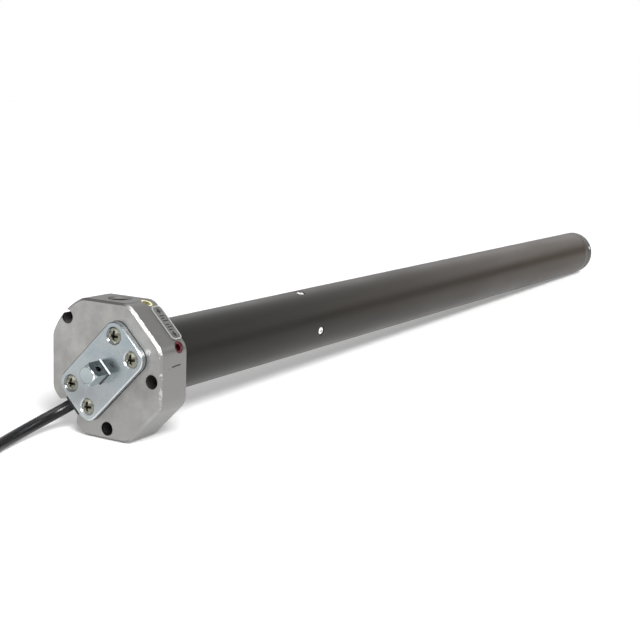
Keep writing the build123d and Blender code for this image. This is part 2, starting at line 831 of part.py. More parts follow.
rivet_x = rear_shield_start + shield_thickness / 2
rivet_angles = [rivet_phase + 360.0 * k / rivet_count for k in range(rivet_count)]
with BuildPart() as rear_shield:
    add(shield(rear_shield_start, False).part)
    for angle in rivet_angles:
        with BuildSketch(radial_plane(rivet_x, tube_radius, angle)):
            Circle(rivet_shank_radius + seat_gap)
        extrude(amount=-(tube_wall + shield_rim + cut_overrun), mode=Mode.SUBTRACT)

with BuildPart() as front_shield:
    add(shield(front_shield_start, True).part)

bush_inset = (shield_thickness - shaft_bush_length) / 2
with BuildPart() as shaft_bushes:
    for start in (rear_shield_start + bush_inset, front_shield_start + bush_inset,
                  gearbox_wall_end - shaft_bush_length - running_gap):
        add(ring(start, start + shaft_bush_length, shaft_bush_radius,
                 rotor_shaft_radius + running_gap).part)

stator_bore = rotor_radius + rotor_air_gap
slot_inner = stator_bore + slot_depth / 4
slot_outer = slot_inner + slot_depth
slot_step = 2 * math.pi / slot_count


def placed(points, turn, centre=(0, 0)):
    """Flat points turned by an angle in degrees and moved to a centre."""
    cosine, sine = math.cos(math.radians(turn)), math.sin(math.radians(turn))
    return [(centre[0] + x * cosine - y * sine, centre[1] + x * sine + y * cosine)
            for x, y in points]


def slot_corners(grow, slot):
    """Corners of one winding slot, wider towards the outside, moved inwards by grow."""
    corners = []
    for radius in (slot_inner + grow, slot_outer - grow):
        half = radius * math.tan(slot_step * slot_mouth_share) - grow
        corners.append((radius, half))
    (r0, h0), (r1, h1) = corners
    return placed([(r0, -h0), (r1, -h1), (r1, h1), (r0, h0)], slot * math.degrees(slot_step))


with BuildPart() as stator_core:
    with BuildSketch(Plane.YZ.offset(stator_start)):
        Circle(inner_radius)
        Circle(stator_bore, mode=Mode.SUBTRACT)
        for slot in range(slot_count):
            with BuildLine():
                Polyline(*slot_corners(0, slot), close=True)
            make_face(mode=Mode.SUBTRACT)
    extrude(amount=stator_length)

with BuildPart() as stator_windings:
    with BuildSketch(Plane.YZ.offset(stator_start - end_turn_gap)):
        for slot in range(slot_count):
            with BuildLine():
                Polyline(*slot_corners(slot_fill_gap, slot), close=True)
            make_face()
    extrude(amount=stator_length + 2 * end_turn_gap)
    turn_depth = slot_outer - slot_inner
    for start, end in ((stator_start - end_turn_gap - end_turn_length, stator_start - end_turn_gap),
                       (stator_end + end_turn_gap, stator_end + end_turn_gap + end_turn_length)):
        lift = turn_depth / 4
        low, high = slot_inner + slot_fill_gap, slot_outer - slot_fill_gap
        add(turned([(start + lift, low), (end, low), (end, high), (start + lift, high),
                    (start, high - lift), (start, low + lift)]).part)

rotor_core = turned([
    (stator_start - rotor_ring_length, rotor_ring_inner), (stator_start, rotor_ring_inner),
    (stator_start, rotor_shaft_radius), (stator_end, rotor_shaft_radius),
    (stator_end, rotor_ring_inner), (stator_end + rotor_ring_length, rotor_ring_inner),
    (stator_end + rotor_ring_length, rotor_radius),
    (stator_start - rotor_ring_length, rotor_radius)])

# Brake

groove_inner = magnet_bore + magnet_inner_wall
groove_outer = inner_radius - magnet_outer_wall
seat_end = magnet_start + magnet_spring_seat
brake_magnet = turned([
    (magnet_start, magnet_spring_lip), (seat_end, magnet_spring_lip),
    (seat_end, magnet_bore), (magnet_end, magnet_bore),
    (magnet_end, groove_inner), (magnet_start + magnet_back, groove_inner),
    (magnet_start + magnet_back, groove_outer), (magnet_end, groove_outer),
    (magnet_end, inner_radius), (magnet_start, inner_radius)])
brake_coil = ring(magnet_start + magnet_back, magnet_end - coil_sink,
                  groove_outer - coil_side_gap, groove_inner + coil_side_gap)
with BuildPart() as brake_disc:
    with BuildSketch(Plane.YZ.offset(brake_disc_start)):
        Circle(brake_disc_radius)
        RegularPolygon(brake_hub_flats / 2 + brake_hub_gap, 6, major_radius=False,
                       mode=Mode.SUBTRACT)
    extrude(amount=brake_disc_thickness)
brake_lining = ring(lining_start, brake_plate_start, brake_disc_radius, lining_inner)
brake_plate = ring(brake_plate_start, brake_plate_end, inner_radius,
                   rotor_shaft_radius + free_gap)
# The spring is a long cone from the magnet's seat to where the released disc comes
spring_end = brake_disc_start - brake_travel - running_gap
brake_spring = turned([
    (seat_end, brake_spring_radius - brake_spring_thickness), (seat_end, brake_spring_radius),
    (spring_end, brake_spring_inner + brake_spring_thickness),
    (spring_end, brake_spring_inner)])

# Gearbox

ring_outer = inner_radius
gear_module = (ring_outer - ring_wall) / (ring_teeth / 2 + gear_dedendum_share)
centre_distance = (sun_teeth + planet_teeth) * gear_module / 2
backlash = gear_backlash_share * gear_module


def tooth_limits(teeth):
    """Root and tip radius of an outside gear."""
    pitch = teeth * gear_module / 2
    return pitch - gear_dedendum_share * gear_module, pitch + gear_addendum_share * gear_module


with BuildPart() as gear_ring:
    ring_pitch = ring_teeth * gear_module / 2
    tooth_space = gear_outline(ring_teeth, gear_module,
                               ring_pitch - gear_addendum_share * gear_module,
                               ring_pitch + gear_dedendum_share * gear_module,
                               -backlash, 180.0 / ring_teeth)
    with BuildSketch(Plane.YZ.offset(gearbox_wall_end)):
        Circle(ring_outer)
        with BuildLine():
            Polyline(*tooth_space, close=True)
        make_face(mode=Mode.SUBTRACT)
    extrude(amount=ring_end - gearbox_wall_end)
    add(ring(gearbox_wall_end - gearbox_wall_thickness, gearbox_wall_end, ring_outer,
             shaft_bush_radius + seat_gap).part)
    for side in (0.0, 180.0):
        with BuildSketch(radial_plane(gearbox_wall_end + set_screw_from_ring, tube_radius,
                                      set_screw_angle + side)):
            Circle(set_screw_radius + seat_gap)
        extrude(amount=-(tube_wall + ring_wall + cut_overrun), mode=Mode.SUBTRACT)

sun_root, sun_tip = tooth_limits(sun_teeth)
planet_root, planet_tip = tooth_limits(planet_teeth)
sun_points = gear_outline(sun_teeth, gear_module, sun_root, sun_tip, backlash, 0)
planet_points = gear_outline(planet_teeth, gear_module, planet_root, planet_tip, backlash,
                             180.0 / planet_teeth)
planets = {}
for stage, start in enumerate(stage_starts):
    for k in range(planet_count):
        turn = 360.0 * k / planet_count
        centre = (centre_distance * math.cos(math.radians(turn)),
                  centre_distance * math.sin(math.radians(turn)))
        with BuildPart() as planet:
            with BuildSketch(Plane.YZ.offset(start)):
                with BuildLine():
                    Polyline(*placed(planet_points, turn, centre), close=True)
                make_face()
                with Locations(centre):
                    Circle(planet_pin_radius + running_gap, mode=Mode.SUBTRACT)
            extrude(amount=planet_lengths[stage])
        planets[f"planet_{stage + 1}_{k + 1}"] = planet

# The rotor shaft carries the clutch hub, a six-sided seat for the brake disc and the first sun
first_sun_start = first_planets_start - sun_overhang
rotor_shaft_start = drum_end - clutch_hub_length
disc_hub_start = brake_disc_start - brake_travel - brake_air_gap
with BuildPart() as rotor_shaft:
    add(turned([(rotor_shaft_start, 0), (rotor_shaft_start, clutch_hub_radius),
                (drum_end - running_gap, clutch_hub_radius),
                (drum_end - running_gap, rotor_shaft_radius),
                (first_sun_start, rotor_shaft_radius), (first_sun_start, 0)]).part)
    with BuildSketch(Plane.YZ.offset(disc_hub_start)):
        RegularPolygon(brake_hub_flats / 2, 6, major_radius=False)
    extrude(amount=brake_plate_start - disc_hub_start - free_gap)
    with BuildSketch(Plane.YZ.offset(first_sun_start)):
        with BuildLine():
            Polyline(*sun_points, close=True)
        make_face()
    extrude(amount=planet_lengths[0] + sun_overhang)

carriers = []
for stage, start in enumerate(stage_starts):
    plate_start = start + planet_lengths[stage] + planet_side_gap
    with BuildPart() as carrier:
        with BuildSketch(Plane.YZ.offset(plate_start)):
            Circle(centre_distance + planet_pin_radius + ring_wall)
        extrude(amount=carrier_plate_thickness)
        with BuildSketch(Plane.YZ.offset(start - planet_side_gap)):
            with PolarLocations(centre_distance, planet_count):
                Circle(planet_pin_radius)
        extrude(amount=plate_start - start + planet_side_gap)
        if stage + 1 < len(stage_starts):
            with BuildSketch(Plane.YZ.offset(plate_start + carrier_plate_thickness)):
                with BuildLine():
                    Polyline(*sun_points, close=True)
                make_face()
            next_end = stage_starts[stage + 1] + planet_lengths[stage + 1]
            extrude(amount=next_end - plate_start - carrier_plate_thickness)
    carriers.append(carrier)

# Output shaft, its housing and the end cap

output_start = last_carrier_start + carrier_plate_thickness
nose_start = cap_end
output_end = nose_start + output_nose_length
groove_x = output_end - output_groove_from_end - output_groove_width
with BuildPart() as output_shaft:
    groove_floor = output_nose_radius - output_groove_depth
    add(turned([(output_start, 0), (output_start, output_shaft_radius),
                (nose_start, output_shaft_radius), (nose_start, output_nose_radius),
                (groove_x, output_nose_radius), (groove_x, groove_floor),
                (groove_x + output_groove_width, groove_floor),
                (groove_x + output_groove_width, output_nose_radius),
                (output_end - output_nose_bevel, output_nose_radius),
                (output_end, output_nose_radius - output_nose_bevel), (output_end, 0)]).part)
    flat_height = output_nose_radius - output_flat_depth
    with BuildSketch(Plane.YZ.offset(output_end - output_flat_length)):
        with Locations((0, flat_height + output_nose_radius / 2)):
            Rectangle(2 * output_nose_radius, output_nose_radius)
    extrude(amount=output_flat_length, mode=Mode.SUBTRACT)

housing_start = ring_end
bush_bore = output_shaft_radius + running_gap
first_bush_end = housing_start + output_bush_length
second_bush_start = nose_end - output_bush_length
web_radius = output_bush_radius + housing_wall
output_housing = turned([
    (housing_start, output_bush_radius + seat_gap),
    (first_bush_end, output_bush_radius + seat_gap),
    (first_bush_end, output_shaft_radius + free_gap),
    (second_bush_start, output_shaft_radius + free_gap),
    (second_bush_start, output_bush_radius + seat_gap),
    (nose_end, output_bush_radius + seat_gap), (nose_end, housing_nose_radius),
    (tube_end - cut_overrun, housing_nose_radius), (tube_end - cut_overrun, inner_radius),
    (second_bush_start, inner_radius), (second_bush_start, web_radius),
    (first_bush_end + housing_wall, web_radius), (first_bush_end + housing_wall, inner_radius),
    (housing_start, inner_radius)])
with BuildPart() as output_bushes:
    for start in (housing_start, second_bush_start):
        add(ring(start, start + output_bush_length, output_bush_radius, bush_bore).part)

cap_screw_x = cap_start + cap_length / 2
cap_screw_angles = [cap_screw_phase + 360.0 * k / cap_screw_count
                    for k in range(cap_screw_count)]
with BuildPart() as end_cap:
    add(turned([(cap_start, housing_nose_radius + seat_gap),
                (nose_end, housing_nose_radius + seat_gap),
                (nose_end, output_shaft_radius + free_gap),
                (cap_end, output_shaft_radius + free_gap),
                (cap_end, tube_radius - cap_bevel), (cap_end - cap_bevel, tube_radius),
                (cap_start + cap_groove_depth, tube_radius),
                (cap_start, tube_radius - cap_groove_depth)]).part)
    for angle in cap_screw_angles:
        with BuildSketch(radial_plane(cap_screw_x, tube_radius + cut_overrun, angle)):
            Circle(cap_screw_head_radius + seat_gap)
        extrude(amount=-(cut_overrun + cap_screw_head_depth), mode=Mode.SUBTRACT)
        with BuildSketch(radial_plane(cap_screw_x, tube_radius, angle)):
            Circle(cap_screw_radius + seat_gap)
        extrude(amount=-(tube_radius - housing_nose_radius + cut_overrun), mode=Mode.SUBTRACT)


def drilled(piece, x, angles, radius, depth):
    """The same piece with blind radial holes from the tube's outside."""
    with BuildPart() as result:
        add(piece.part)
        for angle in angles:
            with BuildSketch(radial_plane(x, tube_radius, angle)):
                Circle(radius)
            extrude(amount=-depth, mode=Mode.SUBTRACT)
    return result


output_housing = drilled(output_housing, cap_screw_x, cap_screw_angles,
                         cap_screw_radius + seat_gap, cap_screw_length + free_gap)

with BuildPart() as end_cap_screws:
    for angle in cap_screw_angles:
        with BuildSketch(radial_plane(cap_screw_x, tube_radius - cap_screw_head_depth, angle)):
            Circle(cap_screw_head_radius)
        extrude(amount=cap_screw_head_depth - cap_screw_head_sink)
        with BuildSketch(radial_plane(cap_screw_x, tube_radius - cap_screw_head_depth, angle)):
            Circle(cap_screw_radius)
        extrude(amount=-(cap_screw_length - cap_screw_head_depth))

# Motor tube, its rivets and set screws

set_screw_x = gearbox_wall_end + set_screw_from_ring
with BuildPart() as motor_tube:
    add(ring(tube_start, tube_end, tube_radius, tube_inner).part)
    for angle in rivet_angles:
        with BuildSketch(radial_plane(rivet_x, tube_radius + cut_overrun, angle)):
            Circle(rivet_dimple_radius)
        extrude(amount=-(cut_overrun + 2 * tube_wall), mode=Mode.SUBTRACT)
    for side in (0.0, 180.0):
        with BuildSketch(radial_plane(set_screw_x, tube_radius + cut_overrun,
                                      set_screw_angle + side)):
            Circle(set_screw_radius + seat_gap)
        extrude(amount=-(cut_overrun + 2 * tube_wall), mode=Mode.SUBTRACT)

with BuildPart() as tube_rivets:
    for angle in rivet_angles:
        with BuildSketch(radial_plane(rivet_x, inner_radius + 2 * seat_gap, angle)):
            Circle(rivet_head_radius)
        extrude(amount=tube_radius - rivet_head_sink - inner_radius - 2 * seat_gap)
        with BuildSketch(radial_plane(rivet_x, inner_radius + 2 * seat_gap, angle)):
            Circle(rivet_shank_radius)
        extrude(amount=-rivet_shank_depth)

with BuildPart() as gearbox_set_screws:
    for side in (0.0, 180.0):
        with BuildSketch(radial_plane(set_screw_x, tube_radius - set_screw_sink,
                                      set_screw_angle + side)):
            Circle(set_screw_radius)
        extrude(amount=-set_screw_length)

# Power lead

def bend_radii(points):
    """Radius of the arc at each inner point: a share of the shorter run over its half turn."""
    radii = []
    for before, here, after in zip(points, points[1:], points[2:]):
        arriving = here - before
        leaving = after - here
        half_turn = math.radians(arriving.get_angle(leaving)) / 2
        radii.append(bend_share * min(arriving.length, leaving.length) / math.tan(half_turn))
    return radii


def cord_tube(name, points, radius):
    """Round tube along straight runs joined by tangent arcs."""
    places = [on_floor(point) for point in points]
    radii = bend_radii(places)
    with BuildPart() as tube:
        with BuildLine() as route:
            FilletPolyline(*places, radius=radii)
        with BuildSketch(Plane(origin=places[0], z_dir=places[1] - places[0])):
            Circle(radius)
        sweep()
    length = sum(edge.length for edge in route.edges())
    share = tube.part.volume / (math.pi * radius ** 2 * length)
    print(name, "bend radii", [round(value, 1) for value in radii], "length", round(length, 1),
          "volume over section times length", round(share, 4))
    return tube, length


grommet_plane = notch_plane.offset(front_wall + grommet_gap)
with BuildPart() as cable_grommet:
    with BuildSketch(grommet_plane):
        with Locations((0, -(grommet_inner + grommet_outer) / 2)):
            Rectangle(2 * grommet_half_width, grommet_outer - grommet_inner)
    extrude(amount=housing_depth - front_wall - 2 * grommet_gap)
    with BuildSketch(notch_plane.offset(grommet_gap)):
        with Locations((0, -(notch_start + grommet_gap + grommet_outer) / 2)):
            Rectangle(2 * grommet_half_width, grommet_outer - notch_start - grommet_gap)
    extrude(amount=front_wall)
    with BuildSketch(lead_exit):
        Circle(cord_radius + free_gap)
    extrude(amount=head_depth, both=True, mode=Mode.SUBTRACT)

cable_free, free_length = cord_tube("cable_free", lead_points, cord_radius)
cable_tail, tail_length = cord_tube("cable_tail", tail_points, cord_radius)

# The put-away coil: half turns spiral in on the floor, climb, and spiral out one layer up
coil_x, coil_y = coil_centre
coil_start = on_floor((lead_points[-1][0], lead_points[-1][1], cord_radius))
heading = floor_plane.x_dir
with BuildPart() as cable_coil:
    with BuildLine() as coil_line:
        y = coil_y - coil_radius
        side = -1
        lift = cord_radius
        here = (coil_x, y, lift)
        Line(coil_start, on_floor(here))
        radii = [coil_radius - coil_pitch / 2 * turn for turn in range(coil_half_turns + 1)]
        for step, radius in enumerate(radii + radii[-2::-1]):
            y_next = here[1] - side * 2 * radius
            if step == coil_half_turns:
                reach = math.sqrt(radius ** 2 + coil_pitch ** 2 / 4)
                half_way = (coil_x + side * reach, (here[1] + y_next) / 2,
                            lift + coil_pitch / 2)
                there = (coil_x, y_next, lift + coil_pitch)
                TangentArc(on_floor(here), on_floor(half_way), tangent=heading * side)
                TangentArc(on_floor(there), on_floor(half_way), tangent=heading * side)
                lift = lift + coil_pitch
            else:
                there = (coil_x, y_next, lift)
                middle = (coil_x + side * radius, (here[1] + y_next) / 2, lift)
                ThreePointArc(on_floor(here), on_floor(middle), on_floor(there))
            here = there
            side = -side
        Line(on_floor(here), on_floor((tail_points[0][0], here[1], lift)))
    coil_plane = Plane(origin=coil_start, x_dir=floor_plane.z_dir, z_dir=-heading)
    with BuildSketch(coil_plane) as coil_section:
        RegularPolygon(cord_radius, 6)
    section_area = coil_section.sketch.area
    sweep()
coil_length = sum(edge.length for edge in coil_line.edges())


def least_gap(wire, spacing, width):
    """Least distance between stretches of the coil over three widths apart along it."""
    count = round(wire.length / spacing)
    points = [wire.position_at(k / count) for k in range(count + 1)]
    apart = round(3 * width / spacing)
    least = min((points[i] - points[j]).length
                for i in range(len(points)) for j in range(i + apart, len(points)))
    return least - width


coil_share = cable_coil.part.volume / (section_area * coil_length)
coil_gap = least_gap(coil_line.wires()[0], cord_radius, 2 * cord_radius)
print("cable_coil half turns", 2 * coil_half_turns + 1, "length", round(coil_length, 1),
      "least gap", round(coil_gap, 2), "volume over section times length", round(coil_share, 4))
print("lead length", round(free_length + coil_length + tail_length, 1))

# Bare end: four cores spread out of the jacket, each with a ferrule
tail_end = Vector(*tail_points[-1])
ahead = (tail_end - Vector(*tail_points[-2])).normalized()
ahead = Vector(ahead.X, ahead.Y, 0).normalized()
across = Vector(-ahead.Y, ahead.X, 0)
core_side_shares = (-1.5, -0.5, 0.5, 1.5)
core_rise_shares = (-0.4, 0.75, -0.75, 0.4)
cores = []
ferrules = []
for side_share, rise_share in zip(core_side_shares, core_rise_shares):
    start = tail_end + ahead * free_gap + across * (side_share * core_radius)
    start = start + Vector(0, 0, rise_share * core_radius)
    spread = side_share * core_radius * core_spread_share
    bend = start + ahead * (3 * cord_radius) + across * spread
    floor_spot = Vector(bend.X, bend.Y, ferrule_radius)
    floor_spot = floor_spot + ahead * (4 * cord_radius) + across * (2 * spread)
    level_end = floor_spot + ahead * (3 * cord_radius) + across * spread
    with BuildPart() as core:
        stops = [on_floor(stop) for stop in (start, bend, floor_spot, level_end)]
        with BuildLine():
            FilletPolyline(*stops, radius=bend_radii(stops))
        with BuildSketch(Plane(origin=stops[0], z_dir=stops[1] - stops[0])):
            Circle(core_radius)
        sweep()
    cores.append(core.part)
    with BuildPart() as ferrule:
        collar = Plane(origin=stops[-1], z_dir=stops[-1] - stops[-2])
        with BuildSketch(collar):
            Circle(ferrule_radius)
        extrude(amount=ferrule_length)
        with BuildSketch(collar.offset(ferrule_length)):
            Circle(ferrule_pin_radius)
        extrude(amount=ferrule_pin_length)
    ferrules.append(ferrule.part)

with BuildPart() as cable_cores:
    for core in cores:
        add(core)
with BuildPart() as core_ferrules:
    for ferrule in ferrules:
        add(ferrule)

finished = {
    "head_housing": head_housing,
    "head_rear_plate": head_rear_plate,
    "head_screws": head_screws,
    "mounting_plate": mounting_plate,
    "square_pin": square_pin,
    "plate_screws": plate_screws,
    "direction_label": direction_label,
    "crank_bush": crank_bush,
    "crank_input": crank_input,
    "override_shaft": override_shaft,
    "limit_adjuster_up": adjusters["up"],
    "limit_adjuster_down": adjusters["down"],
    "limit_spindle_up": spindles["up"],
    "limit_spindle_down": spindles["down"],
    "limit_nut_up": nuts["up"],
    "limit_nut_down": nuts["down"],
    "limit_carrier": limit_carrier,
    "limit_switches": limit_switches,
    "capacitor": capacitor,
    "rear_shield": rear_shield,
    "shaft_bushes": shaft_bushes,
    "front_shield": front_shield,
    "stator_core": stator_core,
    "stator_windings": stator_windings,
    "rotor_shaft": rotor_shaft,
    "rotor_core": rotor_core,
    "brake_magnet": brake_magnet,
    "brake_coil": brake_coil,
    "brake_disc": brake_disc,
    "brake_lining": brake_lining,
    "brake_plate": brake_plate,
    "brake_spring": brake_spring,
    "gear_ring": gear_ring,
    "carrier_1": carriers[0],
    "carrier_2": carriers[1],
    "carrier_3": carriers[2],
    **planets,
    "output_shaft": output_shaft,
    "output_housing": output_housing,
    "output_bushes": output_bushes,
    "end_cap": end_cap,
    "end_cap_screws": end_cap_screws,
    "motor_tube": motor_tube,
    "tube_rivets": tube_rivets,
    "gearbox_set_screws": gearbox_set_screws,
    "cable_grommet": cable_grommet,
    "cable_free": cable_free,
    "cable_coil": cable_coil,
    "cable_tail": cable_tail,
    "cable_cores": cable_cores,
    "core_ferrules": core_ferrules,
}
for name, piece in finished.items():
    piece.part.label = name
    export_step(piece.part, f"parts/{name}.step")
print(len(finished), "nodes")
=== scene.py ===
"""Looks of a tubular roller blind motor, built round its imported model.

The frame is the model's own: X runs along the motor tube from the head to the output end, Z is
up, and Y runs to the left of someone who looks along X. Lengths are in metres.
"""
import math

import bpy
import numpy as np
from bpy.props import FloatProperty, FloatVectorProperty, IntProperty, PointerProperty
from mathutils import Matrix, Vector


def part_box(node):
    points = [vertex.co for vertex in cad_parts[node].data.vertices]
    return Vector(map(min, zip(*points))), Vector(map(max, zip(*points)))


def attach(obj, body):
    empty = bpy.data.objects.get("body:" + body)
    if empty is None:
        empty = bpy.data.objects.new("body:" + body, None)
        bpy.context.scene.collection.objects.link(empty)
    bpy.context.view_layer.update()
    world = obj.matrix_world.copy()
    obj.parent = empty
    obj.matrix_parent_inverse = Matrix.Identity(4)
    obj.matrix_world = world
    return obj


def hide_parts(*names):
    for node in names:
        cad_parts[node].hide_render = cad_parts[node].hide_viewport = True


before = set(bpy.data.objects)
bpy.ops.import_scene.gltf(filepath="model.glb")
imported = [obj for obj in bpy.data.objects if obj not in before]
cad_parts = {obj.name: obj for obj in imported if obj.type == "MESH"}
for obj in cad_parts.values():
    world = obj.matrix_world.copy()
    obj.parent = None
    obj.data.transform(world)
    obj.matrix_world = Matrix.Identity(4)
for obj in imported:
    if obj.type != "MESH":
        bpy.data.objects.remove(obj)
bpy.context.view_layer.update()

bl_info = {
    "name": "Roller Blind Motor",
    "version": (1, 0, 0),
    "blender": (4, 5, 0),
    "location": "3D View > Sidebar > Blind Motor",
    "description": "Surfaces and finishes of a tubular roller blind motor",
    "category": "Object",
}

# Head and tube, as the solids have them
HEAD_HALF = 0.0410
HEAD_DEPTH = 0.0242
HEAD_BEVEL = 0.00145
TUBE_RADIUS = 0.0225
TUBE_WALL = 0.00125
CAP_END = 0.80875
PORT_PLACE = 0.0130
PORT_RADIUS = 0.0070

# Mounting plate, square pin and plate screws
PLATE_THICKNESS = 0.0040
PLATE_HALF_LENGTH = 0.0310
PLATE_HALF_WIDTH = 0.01675
PLATE_CORNER = 0.0080
PLATE_RIM = (-0.00395, -0.0034)
PIN_HALF = 0.0050
PIN_TIP = -0.0160
PIN_HOLE_PLACE = -0.0100
PIN_HOLE_RADIUS = 0.0020
SCREW_PITCH = (0.0456, 0.0175)
SCREW_TURNS = ((0.84, 0.75), (0.86, 0.70))
SCREW_HEAD_RADIUS = 0.00465
SCREW_HEAD_FLOOR = 0.0033
# The cone below a screw head: share of the head's radius, and height over the front face
SCREW_CONE = ((1.0, SCREW_HEAD_FLOOR - 0.0004), (0.72, SCREW_HEAD_FLOOR - 0.0019),
              (0.5, -0.0020))
# Rolled-in metal round the pin's root: offsets outward and upward
PIN_FILLET = ((-0.0004, -0.0002), (0.0006, -0.0002), (0.0006, 0.00005), (0.00025, 0.00025),
              (0.00005, 0.0006), (-0.0004, 0.0006))

# The chamfer with the label and the adjusters: straight out of it, and down along its slope
DIAGONAL = math.sqrt(0.5)
CHAMFER_OUT = (0.0, -DIAGONAL, DIAGONAL)
CHAMFER_DOWN = (0.0, -DIAGONAL, -DIAGONAL)
ADJUSTER_PLACE = 0.0173
ADJUSTER_SOCKET = 0.0024
ADJUSTER_UP_ANGLE = 22.5
ADJUSTER_DOWN_ANGLE = 67.5
LABEL_MIDDLE = 0.0194
LABEL_FACE = 0.04135
LABEL_STROKES = (-0.0050, -0.0032, -0.0014, 0.0014, 0.0032, 0.0050)
PRINT_LIFT = 0.00004
# Minus sign and dot below the lower adjuster: start, end and half width
SIDE_MARKS = (((0.0103, 0.0061), (0.0176, 0.0065), 0.00042),
              ((0.0076, 0.0052), (0.0079, 0.0052), 0.0002))

# Blind rivets; a profile pairs distances from the rivet's axis with heights over the tube
RIVET_PLACE = 0.2083
RIVET_ANGLES = (9.0, 99.0, 189.0, 279.0)
RIVET_PROFILE = ((0.0002, -0.00075), (0.00045, -0.0007), (0.0006, -0.00035), (0.0008, -0.0001),
                 (0.0012, -0.00008), (0.0019, -0.00012), (0.0024, -0.00022), (0.0026, -0.00036),
                 (0.0027, -0.0006), (0.0027, -0.0012))
STEM_PROFILE = ((0.00075, 0.0), (0.00075, -0.0006))

# Route of the power lead: along the floor, across it, and height of its centre above it
LEAD_ROUTE = (
    (0.0109, 0.0212, 0.0222),
    (0.0035, 0.0290, 0.0161),
    (-0.0044, 0.0343, 0.0115),
    (-0.0172, 0.0374, 0.0078),
    (-0.0370, 0.0366, 0.0047),
    (-0.0580, 0.0319, 0.0035),
    (-0.0770, 0.0220, 0.0035),
    (-0.0940, 0.0140, 0.0035),
    (-0.1100, 0.0140, 0.0035),
)
TAIL_ROUTE = (
    (-0.1100, 0.1120, 0.0110),
    (-0.1000, 0.1120, 0.0110),
    (-0.0880, 0.1115, 0.0072),
    (-0.0750, 0.1095, 0.0036),
    (-0.0610, 0.1060, 0.0035),
)
COIL_PLACE = -0.1170
COIL_START = 0.0140
COIL_RADIUS = 0.0490
COIL_PITCH = 0.0075
COIL_HALF_TURNS = 6
POINTS_PER_HALF_TURN = 8

# Cores: name, colour, and places across and above the jacket's end in core radii
CORES = (("brown", (0.16, 0.06, 0.025), -1.5, -0.4), ("black", (0.015, 0.015, 0.015), -0.5, 0.75),
         ("blue", (0.03, 0.09, 0.38), 0.5, -0.75), ("green_yellow", (0.10, 0.34, 0.05), 1.5, 0.4))
CORE_STRIPE = (0.75, 0.62, 0.04)
# Runs from the jacket's end to the bend, on to the floor and level on it, and height there
CORE_RUNS = (0.0108, 0.014, 0.0105)
CORE_REST = 0.00155

# Camera of the photograph
CAMERA_PLACE = (-0.52724, -0.45344, 0.15485)
CAMERA_RIGHT = (0.51177924, -0.85846816, 0.03338301)
CAMERA_UP = (0.13247408, 0.11724833, 0.98422733)
CAMERA_BACK = (-0.84884193, -0.49928473, 0.17373004)
CAMERA_LENS = 68.1
CAMERA_SENSOR = 36.0

# Stage
FLOOR_REACH = 6.0
FLOOR_LIFT = 0.24
FLOOR_FADE = (-0.30, -0.02)
KEY_PLACE = (-0.55, -0.67, 0.67)
KEY_ANGLE = 20.0
FRONT_PLACE = (-1.5, 0.6, 0.7)
FRONT_SIZE = 0.9
# What metal and gloss mirror of the backdrop: upward part of the direction, and its brightness
BRIGHTEST = 4.0
MIRRORED = ((0.0, 0.8), (0.06, 0.46), (0.20, 0.50), (0.28, 2.2), (0.36, 1.8), (0.47, 0.5),
            (0.56, 0.60), (0.90, 0.6), (0.95, BRIGHTEST), (1.0, BRIGHTEST))
# Sideways part of the direction over which mirrors darken, and the share left there
SIDE_RANGE = (-0.6, -0.1)
SIDE_SHARE = 0.62

# Tones that no user needs to change
WHITE = (1.0, 1.0, 1.0, 1.0)
# Painted highlight on the pin's bevel and in its hole
PAINTED_ZINC_HIGHLIGHT = (0.95, 0.97, 0.98)
# Painted shade deep in the screws' recesses
RECESS_SHADE = (0.055, 0.055, 0.04)
LABEL_DARK, LABEL_LIGHT = (0.14, 0.14, 0.135), (0.23, 0.23, 0.22)
LABEL_RIM = (0.50, 0.50, 0.48)
# The paint's tone far from the head, lighter and warmer as a painted reflection, and the places
# along the tube between which it is reached
FAR_PAINT_REFLECTION = (0.019, 0.0112, 0.0052)
PAINT_CHANGE = (0.10, 0.65)


def floor_axes():
    """Origin and axes of the floor, which the head's lower edge and the tube's far end touch."""
    lean = math.atan2(HEAD_HALF - TUBE_RADIUS, CAP_END - HEAD_DEPTH)
    origin = np.array((0.0, 0.0, -HEAD_HALF - HEAD_DEPTH * math.tan(lean)))
    along = np.array((math.cos(lean), 0.0, math.sin(lean)))
    across = np.array((0.0, 1.0, 0.0))
    up = np.array((-math.sin(lean), 0.0, math.cos(lean)))
    return origin, along, across, up


def on_floor(points):
    """Points of the frame from places along the floor, across it and above it."""
    origin, along, across, up = floor_axes()
    points = np.asarray(points, float).reshape(-1, 3)
    return origin + points @ np.array((along, across, up))


# Surfaces


def full_circle(steps):
    """Angles round a circle, evenly spaced, the last one step short of the first."""
    return np.linspace(0.0, 2.0 * math.pi, steps, endpoint=False)


def grid_quads(rows, columns, strips):
    """Quads of a grid whose rows are closed, in strips from each row to the next one."""
    row, column = np.meshgrid(np.arange(strips), np.arange(columns), indexing="ij")
    below, after = (row + 1) % rows, (column + 1) % columns
    return np.stack((row * columns + column, row * columns + after,
                     below * columns + after, below * columns + column), -1).reshape(-1, 4)


def round_shell(rings, first, last):
    """A closed shell: rings in order, and a pole before and after them."""
    rows, columns = rings.shape[:2]
    points = np.vstack((first, rings.reshape(-1, 3), last))
    edge = np.arange(columns)
    start = np.column_stack((np.zeros_like(edge), 1 + (edge + 1) % columns, 1 + edge))
    base = 1 + (rows - 1) * columns
    end = np.column_stack((base + edge, base + (edge + 1) % columns,
                           np.full_like(edge, len(points) - 1)))
    return outward(points, 1 + grid_quads(rows, columns, rows - 1), np.vstack((start, end)))


def loop_shell(grid):
    """A grid that closes on itself both ways, as a ring of round bar does."""
    rows, columns = grid.shape[:2]
    return outward(grid.reshape(-1, 3), grid_quads(rows, columns, rows), np.empty((0, 3), int))


